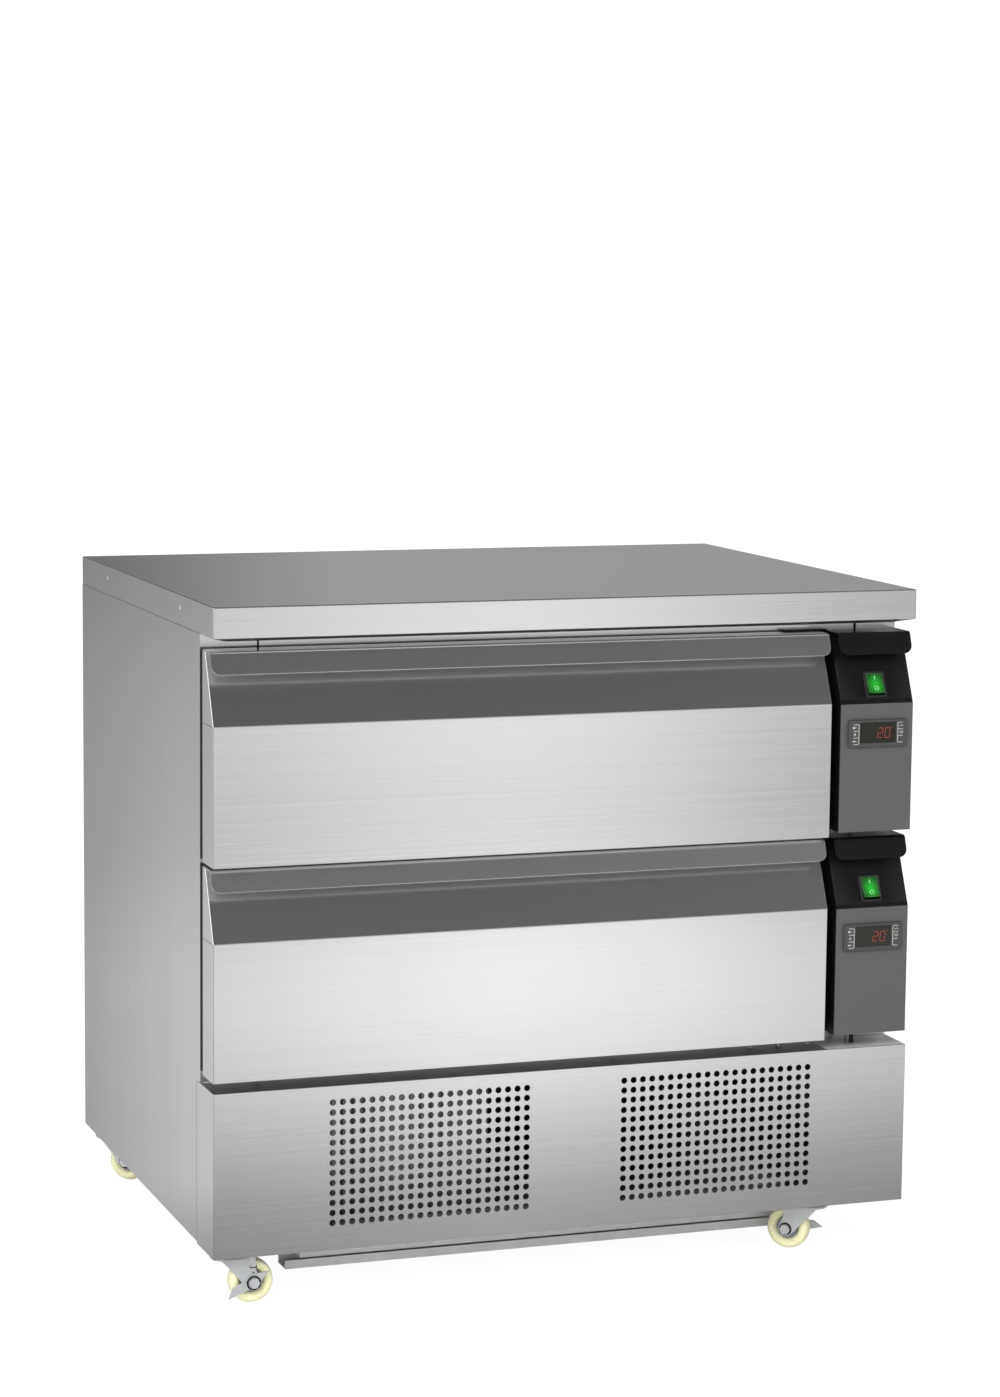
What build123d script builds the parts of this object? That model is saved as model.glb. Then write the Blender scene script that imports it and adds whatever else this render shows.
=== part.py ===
# Refrigerated counter with two insulated drawers on a castored cabinet.
# X runs to the right as seen from the front, Y to the back and Z up, with the floor at Z = 0
# and the origin at the middle of the footprint. Millimetres.
from build123d import *
from math import atan2, cos, degrees, radians, sin, sqrt, tan
import os

# Overall plan and the stack of heights from the floor up
width = 930.0
depth = 700.0
clear_height = 67.0
plinth_height = 208.0
plinth_gap = 12.0
front_height = 262.0
front_gap = 3.5
worktop_gap = 17.0
slab_height = 38.5

# Sheet metal and clearances
slab_sheet = 1.5
skin = 1.2
liner_sheet = 0.8
rail_sheet = 1.5
seat = 0.3
running = 0.05

# Cabinet front
frame_setback = 62.0
left_return = 72.0
right_return = 57.0
seam_gap = 0.8
side_lift = 2.5
back_inset = 12.0
back_return = 18.0
slab_return = 22.0
collar_depth = 14.0

# Drawer fronts and the control column
column_width = 115.5
front_depth = 54.0
slope_rise = 172.5
slope_back = 39.0
lip_reach = 25.0
lip_drop = 27.0
lip_flare = 10.0
lip_sheet = 2.0
lip_corner = 9.0
control_width = 101.0
control_margin = 1.5
control_short = 6.0
control_wall = 2.5
plate_thickness = 2.0

# Bays
bay_left = 78.0
bay_right_lap = 22.5
bay_lap_below = 25.0
bay_lap_above = 28.0
back_insulation = 48.0
chamber_front = 110.0
chamber_width = 79.0
plug_margin = 3.0
plug_depth = 22.0
gasket_width = 18.0

# Drawer boxes and slides
slide_height = 45.0
slide_width = 13.0
slide_play = 0.5
slide_rise = 14.0
slide_length = 560.0
box_height = 118.0
box_sheet = 1.2
box_floor_rise = 12.0

# Machine compartment
deck_sheet = 1.2
base_sheet = 2.0
base_lift = 3.7
base_flange = 22.0
pan_side_inset = 138.0
pan_front = 96.0
pan_length = 504.0
pan_drop = 35.5
pan_sheet = 1.5
pan_flange = 12.0
beam_front = 93.0
beam_width = 32.0
beam_height = 11.0
beam_inset = 118.0
beam_sheet = 1.5

# Plinth and its perforation
plinth_return = 80.0
plinth_lower_flange = 8.0
hole_pitch = 12.7
hole_across = 8.2
hole_columns = 21
hole_rows = 13
first_row_drop = 21.0
left_field_inset = 152.0
right_field_inset = 139.0
screw_radius = 4.0
screw_behind = 42.0

# Condensing units
condenser_width = 224.0
condenser_height = 196.0
condenser_thickness = 36.0
condenser_front = 104.0
fin_count = 16
fin_sheet = 1.2
tube_radius = 4.5
tube_rows = 4
shroud_thickness = 1.5
fan_radius = 84.0
fan_depth = 26.0
motor_radius = 24.0
shaft_radius = 4.0
motor_length = 34.0
compressor_radius = 76.0
compressor_height = 168.0
compressor_behind = 312.0
unit_inset = 279.0

# Evaporators
coil_thickness = 52.0
coil_length = 230.0
coil_fins = 14
coil_behind = 390.0
evaporator_fan_radius = 52.0
evaporator_fan_depth = 18.0
evaporator_fan_behind = 225.0
evaporator_fan_rise = 131.0

# Switches and thermostats
switch_rise = 24.5
bezel_width = 29.0
bezel_length = 34.0
bezel_lip = 2.0
bezel_wall = 1.3
switch_depth = 19.0
rocker_width = 23.0
rocker_length = 28.2
rocker_tilt = 8.0
thermostat_width = 82.0
thermostat_height = 35.5
thermostat_lip = 4.0
thermostat_drop = 39.0
window_width = 50.5
window_height = 28.0

# Casters
wheel_radius = 28.0
wheel_width = 22.0
hub_length = 27.2
hub_radius = 10.0
axle_radius = 4.0
fork_sheet = 2.0
fork_play = 0.4
fork_ridge = 14.0
fork_eye = 9.5
fork_lean = 3.0
trail = 25.0
crown_radius = 26.0
crown_sheet = 2.5
crown_height = 61.5
race_radius = 19.0
kingpin_radius = 6.0
plate_side = 58.0
plate_sheet = 3.0
caster_left = 32.0
caster_right_inset = 117.0
caster_front = 38.5
caster_back_inset = 42.0
lever_reach = 37.5
lever_eye = 10.0
lever_horn = 24.0
lever_sheet = 2.0
lever_locked = 18.0

# Levels and places that follow
plinth_bottom = clear_height
plinth_top = plinth_bottom + plinth_height
lower_bottom = plinth_top + plinth_gap
upper_bottom = lower_bottom + front_height + front_gap
slab_bottom = upper_bottom + front_height + worktop_gap
height = slab_bottom + slab_height
drawer_width = width - column_width
seam_right = width - right_return
bay_right = drawer_width - bay_right_lap
bay_width = bay_right - bay_left
bay_height = front_height - bay_lap_below - bay_lap_above
back_plane = depth - back_inset
bay_back = back_plane - back_insulation
side_bottom = plinth_bottom + side_lift
base_bottom = plinth_bottom + base_lift
base_top = base_bottom + base_sheet
pan_bottom = plinth_bottom - pan_drop
pan_floor = pan_bottom + pan_sheet
control_left = width - control_margin - control_width
control_middle = width - control_margin - control_width / 2
slope_angle = degrees(atan2(slope_back, front_height - slope_rise))
box_width = bay_width - 2 * (slide_width + slide_play)
box_front = front_depth + plug_depth
box_back = frame_setback + collar_depth + slide_length
caster_top = base_bottom - plate_sheet
caster_right = width - caster_right_inset
caster_back = depth - caster_back_inset
fork_inner = hub_length / 2 + fork_play
fork_outer = fork_inner + fork_sheet

# Shapes are drawn from the left front corner of the worktop
left_front = Pos(-width / 2, -(depth - thermostat_lip) / 2, 0)


def block(x, y, z):
    # A box given by its low and high limit along each axis
    size = [high - low for low, high in (x, y, z)]
    middle = [(low + high) / 2 for low, high in (x, y, z)]
    return Pos(*middle) * Box(*size)


def across(points, start, length):
    # A section in Y and Z, drawn along X
    area = Plane.YZ.offset(start) * Polygon(*points, align=None)
    return extrude(area, amount=length, dir=(1, 0, 0))


def upward(points, start, length):
    # A section in X and Y, drawn along Z
    area = Plane.XY.offset(start) * Polygon(*points, align=None)
    return extrude(area, amount=length, dir=(0, 0, 1))


def backward(points, start, length):
    # A section in X and Z, drawn along Y
    area = Plane.XZ.offset(-start) * Polygon(*points, align=None)
    return extrude(area, amount=length, dir=(0, 1, 0))


def folded(path, thickness):
    # The closed section of a sheet whose outer face follows the path and whose wall lies on its left
    inner = []
    for i, (px, py) in enumerate(path):
        before = path[i - 1] if i else None
        after = path[i + 1] if i + 1 < len(path) else None
        sides = []
        for a, b in ((before, (px, py)), ((px, py), after)):
            if a and b:
                run = sqrt((b[0] - a[0]) ** 2 + (b[1] - a[1]) ** 2)
                sides.append(((a[1] - b[1]) / run, (b[0] - a[0]) / run))
        nx, ny = sides[0]
        mx, my = sides[-1]
        share = thickness / (1 + nx * mx + ny * my)
        inner.append((px + (nx + mx) * share, py + (ny + my) * share))
    return list(path) + inner[::-1]


def along(axis, radius, length, at):
    # A round bar that starts at a point and runs along one axis
    turn = {"x": Rot(0, 90, 0), "y": Rot(-90, 0, 0), "z": Rot(0, 0, 0)}[axis]
    bar = Cylinder(radius, length, align=(Align.CENTER, Align.CENTER, Align.MIN))
    return Pos(*at) * turn * bar


def bay_levels(bottom):
    return bottom + bay_lap_below, bottom + front_height - bay_lap_above


# Cabinet shell


def worktop():
    slab = block((0, width), (0, depth), (slab_bottom, height))
    slab = fillet(slab.edges().filter_by(Axis.Z), 2.0)
    slab = fillet(slab.faces().sort_by(Axis.Z)[-1].edges(), 1.2)
    inside = block(
        (slab_sheet, width - slab_sheet),
        (slab_sheet, depth - slab_sheet),
        (slab_bottom + slab_sheet, height - slab_sheet),
    )
    mouth = block(
        (slab_return, width - slab_return),
        (slab_return, depth - slab_return),
        (slab_bottom, slab_bottom + slab_sheet),
    )
    return slab - inside - mouth


def worktop_board():
    gap = slab_sheet + seat
    return block(
        (gap, width - gap),
        (gap, depth - gap),
        (slab_bottom + slab_sheet, height - slab_sheet),
    )


def side_panel(front_return, mirrored):
    path = [
        (front_return, frame_setback),
        (0, frame_setback),
        (0, depth),
        (back_return, depth),
    ]
    # The path runs front to back on the left side, so its wall lies to the right
    section = folded(path[::-1], skin)
    panel = upward(section, side_bottom, slab_bottom - side_bottom)
    notch = block(
        (-1, front_return + 1),
        (frame_setback - 1, plinth_return + seat),
        (side_bottom - 1, plinth_top + seat),
    )
    panel = panel - notch
    if mirrored:
        panel = Pos(width, 0, 0) * mirror(panel, about=Plane.YZ)
    return panel


def front_frame():
    left = left_return + seam_gap
    right = seam_right - seam_gap
    sheet = block(
        (left, right),
        (frame_setback, frame_setback + skin),
        (plinth_top, slab_bottom),
    )
    for bottom in (lower_bottom, upper_bottom):
        low, high = bay_levels(bottom)
        collar = block(
            (bay_left - skin, bay_right + skin),
            (frame_setback, frame_setback + collar_depth),
            (low - skin, high + skin),
        )
        mouth = block(
            (bay_left, bay_right),
            (frame_setback - 1, frame_setback + collar_depth + 1),
            (low, high),
        )
        sheet = sheet + collar - mouth
    return sheet


def bay_outline(growth):
    front = frame_setback + collar_depth
    chamber_right = bay_right + chamber_width + skin
    return [
        (bay_left - growth, front),
        (bay_right + growth, front),
        (bay_right + growth, chamber_front - growth),
        (chamber_right + growth, chamber_front - growth),
        (chamber_right + growth, bay_back + growth),
        (bay_left - growth, bay_back + growth),
    ]


def bay_liner(bottom):
    low, high = bay_levels(bottom)
    outside = upward(bay_outline(liner_sheet), low - liner_sheet, high - low + 2 * liner_sheet)
    return outside - upward(bay_outline(0), low, high - low)


def cabinet_insulation():
    foam = block(
        (skin, width - skin),
        (frame_setback + skin, back_plane),
        (plinth_top + deck_sheet, slab_bottom),
    )
    for bottom in (lower_bottom, upper_bottom):
        low, high = bay_levels(bottom)
        foam -= upward(bay_outline(liner_sheet), low - liner_sheet, high - low + 2 * liner_sheet)
        foam -= block(
            (bay_left - skin, bay_right + skin),
            (frame_setback, frame_setback + collar_depth),
            (low - skin, high + skin),
        )
    return foam


def insulation_deck():
    return block(
        (skin, width - skin),
        (frame_setback + skin, back_plane),
        (plinth_top, plinth_top + deck_sheet),
    )


def back_panel():
    margin = back_return + seam_gap
    panel = block(
        (margin, width - margin),
        (back_plane, back_plane + skin),
        (side_bottom, slab_bottom),
    )
    slot = block(
        (-condenser_width / 2, condenser_width / 2),
        (back_plane - 1, back_plane + skin + 1),
        (-3, 3),
    )
    for middle in (unit_inset, width - unit_inset):
        for row in range(9):
            panel -= Pos(middle, 0, pan_floor + 70 + 16 * row) * slot
    gland_hole = along("y", 8.0, 10 + skin, (width - 60, back_plane - 5, base_top + 40))
    return panel - gland_hole


def cable_gland():
    at = (width - 60, back_plane, base_top + 40)
    nut = Pos(*at) * Rot(-90, 0, 0) * extrude(RegularPolygon(11, 6), amount=-6)
    thread = along("y", 8.0 - seat, 12 + skin, (at[0], at[1] - 12, at[2]))
    flange = Pos(at[0], at[1] + skin, at[2]) * Rot(-90, 0, 0) * extrude(RegularPolygon(12, 6), amount=5)
    dome = along("y", 9.0, 5, (at[0], at[1] + skin + 5, at[2]))
    bore = along("y", 4.5, 40, (at[0], at[1] - 20, at[2]))
    return nut + thread + flange + dome - bore


# Plinth


def perforated_front():
    # One sheet with two fields of holes, each hole a wire of the sheet's outline
    outline = Wire.make_polygon(
        [
            (0, 0, plinth_bottom),
            (width, 0, plinth_bottom),
            (width, 0, plinth_top),
            (0, 0, plinth_top),
        ],
        close=True,
    )
    reach = hole_across / 2
    corners = [(reach, 0), (0, reach), (-reach, 0), (0, -reach)]
    field = hole_pitch * (hole_columns - 1)
    holes = []
    for start in (left_field_inset, width - right_field_inset - field):
        for column in range(hole_columns):
            for row in range(hole_rows):
                x = start + hole_pitch * column
                z = plinth_top - first_row_drop - hole_pitch * row
                ring = [(x + dx, 0, z + dz) for dx, dz in corners]
                holes.append(Wire.make_polygon(ring, close=True))
    return extrude(Face(outline, holes), amount=skin, dir=(0, 1, 0))


def plinth_panel():
    path = [(0, plinth_return), (0, 0), (width, 0), (width, plinth_return)]
    sides = upward(folded(path, skin), plinth_bottom, plinth_height)
    window = block((skin, width - skin), (-1, skin), (plinth_bottom - 1, plinth_top + 1))
    sides -= window
    shelf = block((skin, width - skin), (skin, frame_setback - seat), (plinth_top - skin, plinth_top))
    hem = block(
        (skin, width - skin),
        (skin, plinth_lower_flange),
        (plinth_bottom, plinth_bottom + skin),
    )
    return perforated_front() + sides + shelf + hem


def plinth_screws():
    inset = 218.0
    spots = [inset, width - 392, width - 203, width - 162, width - 122]
    screws = []
    for x in spots:
        head = along("z", screw_radius, 1.8, (x, screw_behind, plinth_top))
        screws.append(chamfer(head.edges().group_by(Axis.Z)[-1], 0.8))
    return screws


# Machine compartment


def base_frame():
    tray = block((skin + seat, width - skin - seat), (skin + seat, back_plane - seat), (base_bottom, base_top + base_flange))
    tray -= block(
        (skin + seat + base_sheet, width - skin - seat - base_sheet),
        (skin + seat + base_sheet, back_plane - seat - base_sheet),
        (base_top, base_top + base_flange + 1),
    )
    opening = block(
        (pan_side_inset - seat, width - pan_side_inset + seat),
        (pan_front - seat, pan_front + pan_length + seat),
        (base_bottom - 1, base_top + 1),
    )
    return tray - opening


def machine_pan():
    wall = block(
        (pan_side_inset, width - pan_side_inset),
        (pan_front, pan_front + pan_length),
        (pan_bottom, base_top),
    )
    rim = block(
        (pan_side_inset - pan_flange, width - pan_side_inset + pan_flange),
        (pan_front - pan_flange, pan_front + pan_length + pan_flange),
        (base_top, base_top + pan_sheet),
    )
    inside = block(
        (pan_side_inset + pan_sheet, width - pan_side_inset - pan_sheet),
        (pan_front + pan_sheet, pan_front + pan_length - pan_sheet),
        (pan_floor, base_top + pan_sheet + 1),
    )
    return wall + rim - inside


def chassis_beams():
    # Channel beams under the pan, open upwards, the front edge a little lower than the back one
    low = pan_bottom - beam_height - beam_sheet
    path = [
        (0, pan_bottom - beam_sheet),
        (0, low),
        (beam_width, low),
        (beam_width, pan_bottom),
    ]
    front = across([(beam_front + y, z) for y, z in folded(path, beam_sheet)], beam_inset, width - 2 * beam_inset)
    back = Pos(0, 2 * (pan_front + pan_length / 2), 0) * mirror(front, about=Plane.XZ)
    return [front, back]


def condenser():
    # Fin pack between two end plates, with the tube bends that show beyond them
    half = condenser_width / 2
    pitch = (condenser_width - fin_sheet) / (fin_count - 1)
    pack = block((-half, half), (8, condenser_thickness - 8), (0, condenser_height))
    for i in range(fin_count):
        x = -half + pitch * i
        pack += block((x, x + fin_sheet), (0, condenser_thickness), (0, condenser_height))
    step = condenser_height / tube_rows
    for i in range(tube_rows):
        z = step * (i + 0.5)
        pack += along("x", tube_radius, condenser_width + 24, (-half - 12, condenser_thickness / 2, z))
    return pack


def fan_shroud(radius, side, tall, room):
    # Square plate with a collared hole and a motor on three arms behind it
    hub_start = fan_depth + 4
    plate = block((-side / 2, side / 2), (0, shroud_thickness), (-tall / 2, tall / 2))
    plate += along("y", radius + 3, room, (0, 0, 0))
    plate -= along("y", radius + 1.8, room + 2, (0, -1, 0))
    motor = along("y", motor_radius, motor_length, (0, hub_start, 0))
    motor += along("y", shaft_radius, hub_start, (0, 2, 0))
    for turn in (30, 150, 270):
        arm = block((0, radius + 2.4), (hub_start, hub_start + 3), (-5, 5))
        foot = block((radius + 1.9, radius + 3), (0, hub_start + 3), (-5, 5))
        motor += Rot(0, turn, 0) * (arm + foot)
    return plate + motor


def fan_blades(radius, long, blades):
    # Hub and pitched blades, axis along Y
    hub = along("y", radius * 0.27, long, (0, 0, 0))
    for i in range(blades):
        blade = block((radius * 0.2, radius - 1), (-1.0, 1.0), (-radius * 0.3, radius * 0.3))
        blade = Rot(32, 0, 0) * blade
        blade &= along("y", radius, long, (0, -long / 2, 0))
        hub += Rot(0, 360 / blades * i, 0) * Pos(0, long / 2, 0) * blade
    return hub - along("y", shaft_radius + running, long + 2, (0, -1, 0))


def compressor():
    # Welded can with a domed top on a sprung foot plate
    r = compressor_radius
    foot = 12.0
    profile = Polyline(
        (0, foot),
        (r - 12, foot),
        (r, foot + 14),
        (r, compressor_height * 0.52),
        (r + 3, compressor_height * 0.52),
        (r + 3, compressor_height * 0.56),
        (r, compressor_height * 0.56),
        (r, compressor_height - 34),
        (r - 14, compressor_height - 12),
        (r - 40, compressor_height),
        (0, compressor_height),
    )
    can = revolve(Plane.XZ * make_face(profile + Line((0, compressor_height), (0, foot))), Axis.Z)
    foot_plate = block((-92, 92), (-60, 60), (8, foot + 1))
    for x in (-80, 80):
        for y in (-48, 48):
            foot_plate += along("z", 9, 14, (x, y, 0))
    box = block((-28, 28), (-r - 22, -r + 12), (60, 112))
    return can + foot_plate + box


# Cooling of the bays


def evaporator(bottom):
    low, high = bay_levels(bottom)
    tall = high - low - 24
    left = bay_right + skin + (chamber_width - coil_thickness) / 2
    pitch = (coil_length - fin_sheet) / (coil_fins - 1)
    coil = block(
        (left + 10, left + coil_thickness - 10),
        (coil_behind, coil_behind + coil_length),
        (low + 14, low + 14 + tall - 4),
    )
    for i in range(coil_fins):
        y = coil_behind + pitch * i
        coil += block((left, left + coil_thickness), (y, y + fin_sheet), (low, low + tall))
    for z in (low + tall * 0.25, low + tall * 0.75):
        coil += along("y", tube_radius, coil_length + 24, (left + coil_thickness / 2, coil_behind - 12, z))
    return coil


def evaporator_cover(bottom):
    # Sheet between bay and coil chamber, with the fan ring, its motor and the return slots
    low, high = bay_levels(bottom)
    sheet = block((bay_right, bay_right + skin), (chamber_front, bay_back), (low, high))
    centre = (bay_right, evaporator_fan_behind, low + evaporator_fan_rise)
    sheet -= along("x", evaporator_fan_radius + 2, skin + 2, (centre[0] - 1, centre[1], centre[2]))
    for i in range(6):
        y = coil_behind + 24 + i * 36
        sheet -= block((bay_right - 1, bay_right + skin + 1), (y, y + 14), (low + 76, high - 24))
    start = evaporator_fan_depth + skin + 6
    motor = along("x", motor_radius * 0.8, motor_length * 0.7, (start, 0, 0))
    motor += along("x", shaft_radius, start, (skin + 2, 0, 0))
    for turn in (90, 210, 330):
        arm = block((start, start + 3), (-4, 4), (0, evaporator_fan_radius + 8))
        leg = block((skin, start + 3), (-4, 4), (evaporator_fan_radius + 5, evaporator_fan_radius + 8))
        motor += Rot(turn, 0, 0) * (arm + leg)
    return sheet + Pos(*centre) * motor


# Slides: three nested channels a side, cabinet member outside


def slide_section(level, tall, open_width, web):
    # A channel that opens to +X, with its web at the given distance from the bay wall
    half = tall / 2
    return [
        (web + open_width, level - half),
        (web, level - half),
        (web, level + half),
        (web + open_width, level + half),
    ]


def slide_pair(bottom, shape, start, length):
    low = bay_levels(bottom)[0] + slide_rise + slide_height / 2
    path = shape(low)
    left = backward([(bay_left + x, z) for x, z in folded(path[::-1], rail_sheet)], start, length)
    right = Pos(bay_left + bay_right, 0, 0) * mirror(left, about=Plane.YZ)
    return [left, right]


def cabinet_slide(level):
    return slide_section(level, slide_height, slide_width - 1, 0)


def middle_slide(level):
    tall = slide_height - 2 * (rail_sheet + slide_play)
    return slide_section(level, tall, slide_width - 3, rail_sheet + slide_play)


def drawer_slide(level):
    # The drawer member faces the other way and hangs on the drawer box
    tall = slide_height - 4 * (rail_sheet + slide_play)
    reach = slide_width - 2 * (rail_sheet + slide_play)
    near = 2 * (rail_sheet + slide_play)
    half = tall / 2
    return [
        (near, level + half),
        (near + reach, level + half),
        (near + reach, level - half),
        (near, level - half),
    ]


def cabinet_slides():
    start = frame_setback + collar_depth
    members = []
    for bottom in (lower_bottom, upper_bottom):
        members += slide_pair(bottom, cabinet_slide, start, slide_length)
    return members


def middle_slides(bottom):
    start = frame_setback + collar_depth + 2
    return slide_pair(bottom, middle_slide, start, slide_length - 4)


def drawer_slides(bottom):
    length = box_back - box_front - 2 * seat
    return slide_pair(bottom, drawer_slide, box_front + seat, length)


# Drawers


def front_profile(bottom, deep, short, inset):
    # Side outline of a drawer front or control housing without its lip, moved inwards by a wall
    a = radians(slope_angle)
    return [
        (inset, bottom + short + inset),
        (inset, bottom + slope_rise - inset * tan(a / 2)),
        (slope_back + inset * (1 / cos(a) - tan(a)), bottom + front_height - inset),
        (deep, bottom + front_height - inset),
        (deep, bottom + short + inset),
    ]


def grip_lip(bottom, left, right):
    # Bent strip that overhangs the slope, with rounded lower corners
    top = bottom + front_height
    nose = slope_back - lip_reach
    path = [
        (slope_back + 0.2 * lip_sheet, top),
        (nose, top),
        (nose - lip_flare, top - lip_drop),
    ]
    strip = across(folded(path, lip_sheet), left, right - left)
    low = top - lip_drop - 3
    mask = Pos((left + right) / 2, 0, (low + top + 20) / 2) * Box(right - left, 4 * depth, top + 20 - low)
    corners = mask.edges().filter_by(Axis.Y).group_by(Axis.Z)[0]
    return strip & fillet(corners, lip_corner)


def hollow_front(bottom, left, right, deep, short, wall):
    outside = across(front_profile(bottom, deep, short, 0), left, right - left)
    bend = outside.edges().filter_by(Axis.X).group_by(Axis.Y)[0]
    outside = fillet(bend, 1.0)
    room = front_profile(bottom, deep + 1, short, wall)
    return outside - across(room, left + wall, right - left - 2 * wall)


def drawer_front(bottom):
    skin_shell = hollow_front(bottom, 0, drawer_width, front_depth, 0, skin)
    return skin_shell + grip_lip(bottom, 0, drawer_width)


def drawer_inner_panel(bottom):
    # Foam-filled panel: it closes the skin at the back and plugs the bay mouth
    low, high = bay_levels(bottom)
    gap = skin + seat
    core = across(front_profile(bottom, front_depth, 0, gap), gap, drawer_width - 2 * gap)
    plug = block(
        (bay_left + plug_margin, bay_right - plug_margin),
        (front_depth, front_depth + plug_depth),
        (low + plug_margin, high - plug_margin),
    )
    plug = fillet(plug.edges().filter_by(Axis.Y), 6.0)
    return core + plug


def drawer_gasket(bottom):
    low, high = bay_levels(bottom)
    outer = [bay_left - gasket_width - 2, bay_right + gasket_width + 2, low - gasket_width - 2, high + gasket_width + 2]
    ring = block((outer[0], outer[1]), (front_depth, frame_setback - seat), (outer[2], outer[3]))
    ring -= block(
        (bay_left - 2, bay_right + 2),
        (front_depth - 1, frame_setback + 1),
        (low - 2, high + 2),
    )
    return ring


def drawer_box(bottom):
    low = bay_levels(bottom)[0] + box_floor_rise
    left = bay_left + slide_width + slide_play
    right = left + box_width
    tub = block((left, right), (box_front, box_back), (low, low + box_height))
    tub = fillet(tub.edges().filter_by(Axis.Z).group_by(Axis.Y)[-1], 6.0)
    tub -= block(
        (left + box_sheet, right - box_sheet),
        (box_front + box_sheet, box_back - box_sheet),
        (low + box_sheet, low + box_height + 1),
    )
    return tub


# Control column


def slope_frame(bottom, up):
    # Plane on the slope: local X to the right, local Y up the slope, Z outwards
    a = radians(slope_angle)
    return Plane(
        origin=(control_middle, up * sin(a), bottom + slope_rise + up * cos(a)),
        x_dir=(1, 0, 0),
        z_dir=(0, -cos(a), sin(a)),
    )


def control_housing(bottom):
    right = control_left + control_width
    shell = hollow_front(bottom, control_left, right, frame_setback, control_short, control_wall)
    shell -= block(
        (control_left - 1, right + 1),
        (-1, plate_thickness),
        (bottom, bottom + slope_rise - 1),
    )
    backing = block(
        (control_left, right),
        (plate_thickness, plate_thickness + control_wall),
        (bottom + control_short, bottom + slope_rise - 1),
    )
    shell = shell + backing + grip_lip(bottom, control_left, right)
    spot = slope_frame(bottom, switch_rise)
    hole = extrude(spot * Rectangle(bezel_width - 3, bezel_length - 3), amount=20, both=True)
    middle = bottom + slope_rise - thermostat_drop
    cutout = block(
        (control_middle - thermostat_width / 2 + 5, control_middle + thermostat_width / 2 - 5),
        (-1, 20),
        (middle - thermostat_height / 2 + 3, middle + thermostat_height / 2 - 3),
    )
    return shell - hole - cutout


def face_plates():
    plates = []
    for bottom in (lower_bottom, upper_bottom):
        middle = bottom + slope_rise - thermostat_drop
        plate = block(
            (control_left, control_left + control_width),
            (0, plate_thickness),
            (bottom + control_short, bottom + slope_rise - 1),
        )
        plate -= block(
            (control_middle - thermostat_width / 2 + 5, control_middle + thermostat_width / 2 - 5),
            (-1, plate_thickness + 1),
            (middle - thermostat_height / 2 + 3, middle + thermostat_height / 2 - 3),
        )
        plates.append(plate)
    return plates


def thermostat(bottom):
    middle = bottom + slope_rise - thermostat_drop
    rim = block(
        (control_middle - thermostat_width / 2, control_middle + thermostat_width / 2),
        (-thermostat_lip, 0),
        (middle - thermostat_height / 2, middle + thermostat_height / 2),
    )
    rim = fillet(rim.edges().filter_by(Axis.Y), 3.0)
    rim = fillet(rim.faces().sort_by(Axis.Y)[0].edges(), 1.0)
    window = block(
        (control_middle - window_width / 2, control_middle + window_width / 2),
        (-thermostat_lip - 1, -thermostat_lip + 0.8),
        (middle - window_height / 2, middle + window_height / 2),
    )
    case = block(
        (control_middle - thermostat_width / 2 + 5.3, control_middle + thermostat_width / 2 - 5.3),
        (0, frame_setback - 12),
        (middle - thermostat_height / 2 + 3.3, middle + thermostat_height / 2 - 3.3),
    )
    return rim + case - window


def switch_bezels():
    cases = []
    for bottom in (lower_bottom, upper_bottom):
        spot = slope_frame(bottom, switch_rise)
        rim = extrude(spot * RectangleRounded(bezel_width, bezel_length, 2), amount=bezel_lip)
        body = extrude(
            spot * Rectangle(bezel_width - 3 - 2 * seat, bezel_length - 3 - 2 * seat),
            amount=-switch_depth,
        )
        room = extrude(
            spot.offset(bezel_lip + 1) * Rectangle(rocker_width + 1.0, bezel_length - 2 * bezel_wall),
            amount=-(bezel_lip + 1),
        )
        well = extrude(
            spot * Rectangle(rocker_width + 1.0, bezel_length - 3 - 2 * seat - 2 * 0.8),
            amount=-(switch_depth - 3),
        )
        cases.append(rim + body - room - well)
    return cases


def rocker(bottom):
    # Shallow V that rocks on a hidden pin, drawn level and then pressed in at the top
    half = rocker_length / 2
    pivot = -4.0
    outline = Polygon(
        (-half, bezel_lip + 2.6),
        (0, bezel_lip + 1.0),
        (half, bezel_lip + 2.6),
        (half - 3.2, -8.0),
        (-half + 3.2, -8.0),
        align=None,
    )
    level = extrude(Plane.YZ.offset(-rocker_width / 2) * outline, amount=rocker_width, dir=(1, 0, 0))
    pressed = Pos(0, 0, pivot) * Rot(-rocker_tilt, 0, 0) * Pos(0, 0, -pivot) * level
    return slope_frame(bottom, switch_rise).location * pressed


# Casters: axis at the origin of each, wheel trailing along local X


def caster_spots():
    return {
        "front_left": (caster_left, caster_front, 0.0),
        "front_right": (caster_right, caster_front, 139.0),
        "back_left": (caster_left, caster_back, -42.0),
        "back_right": (caster_right, caster_back, 200.0),
    }


def set_caster(shape, spot):
    x, y, heading = spot
    return Pos(x, y, 0) * Rot(0, 0, heading) * shape


def caster_plates():
    plates = []
    under = crown_height - crown_sheet
    for spot in caster_spots().values():
        plate = block((-plate_side / 2, plate_side / 2), (-plate_side / 2, plate_side / 2), (caster_top, base_bottom))
        plate = fillet(plate.edges().filter_by(Axis.Z), 5.0)
        pin = along("z", kingpin_radius, caster_top - under, (0, 0, under))
        head = along("z", kingpin_radius + 3, 1.8, (0, 0, under - seat - 1.8))
        stem = along("z", kingpin_radius, 1.0, (0, 0, under - seat - 0.5))
        plates.append(Pos(spot[0], spot[1], 0) * (plate + pin + stem + head))
    return plates


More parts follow.
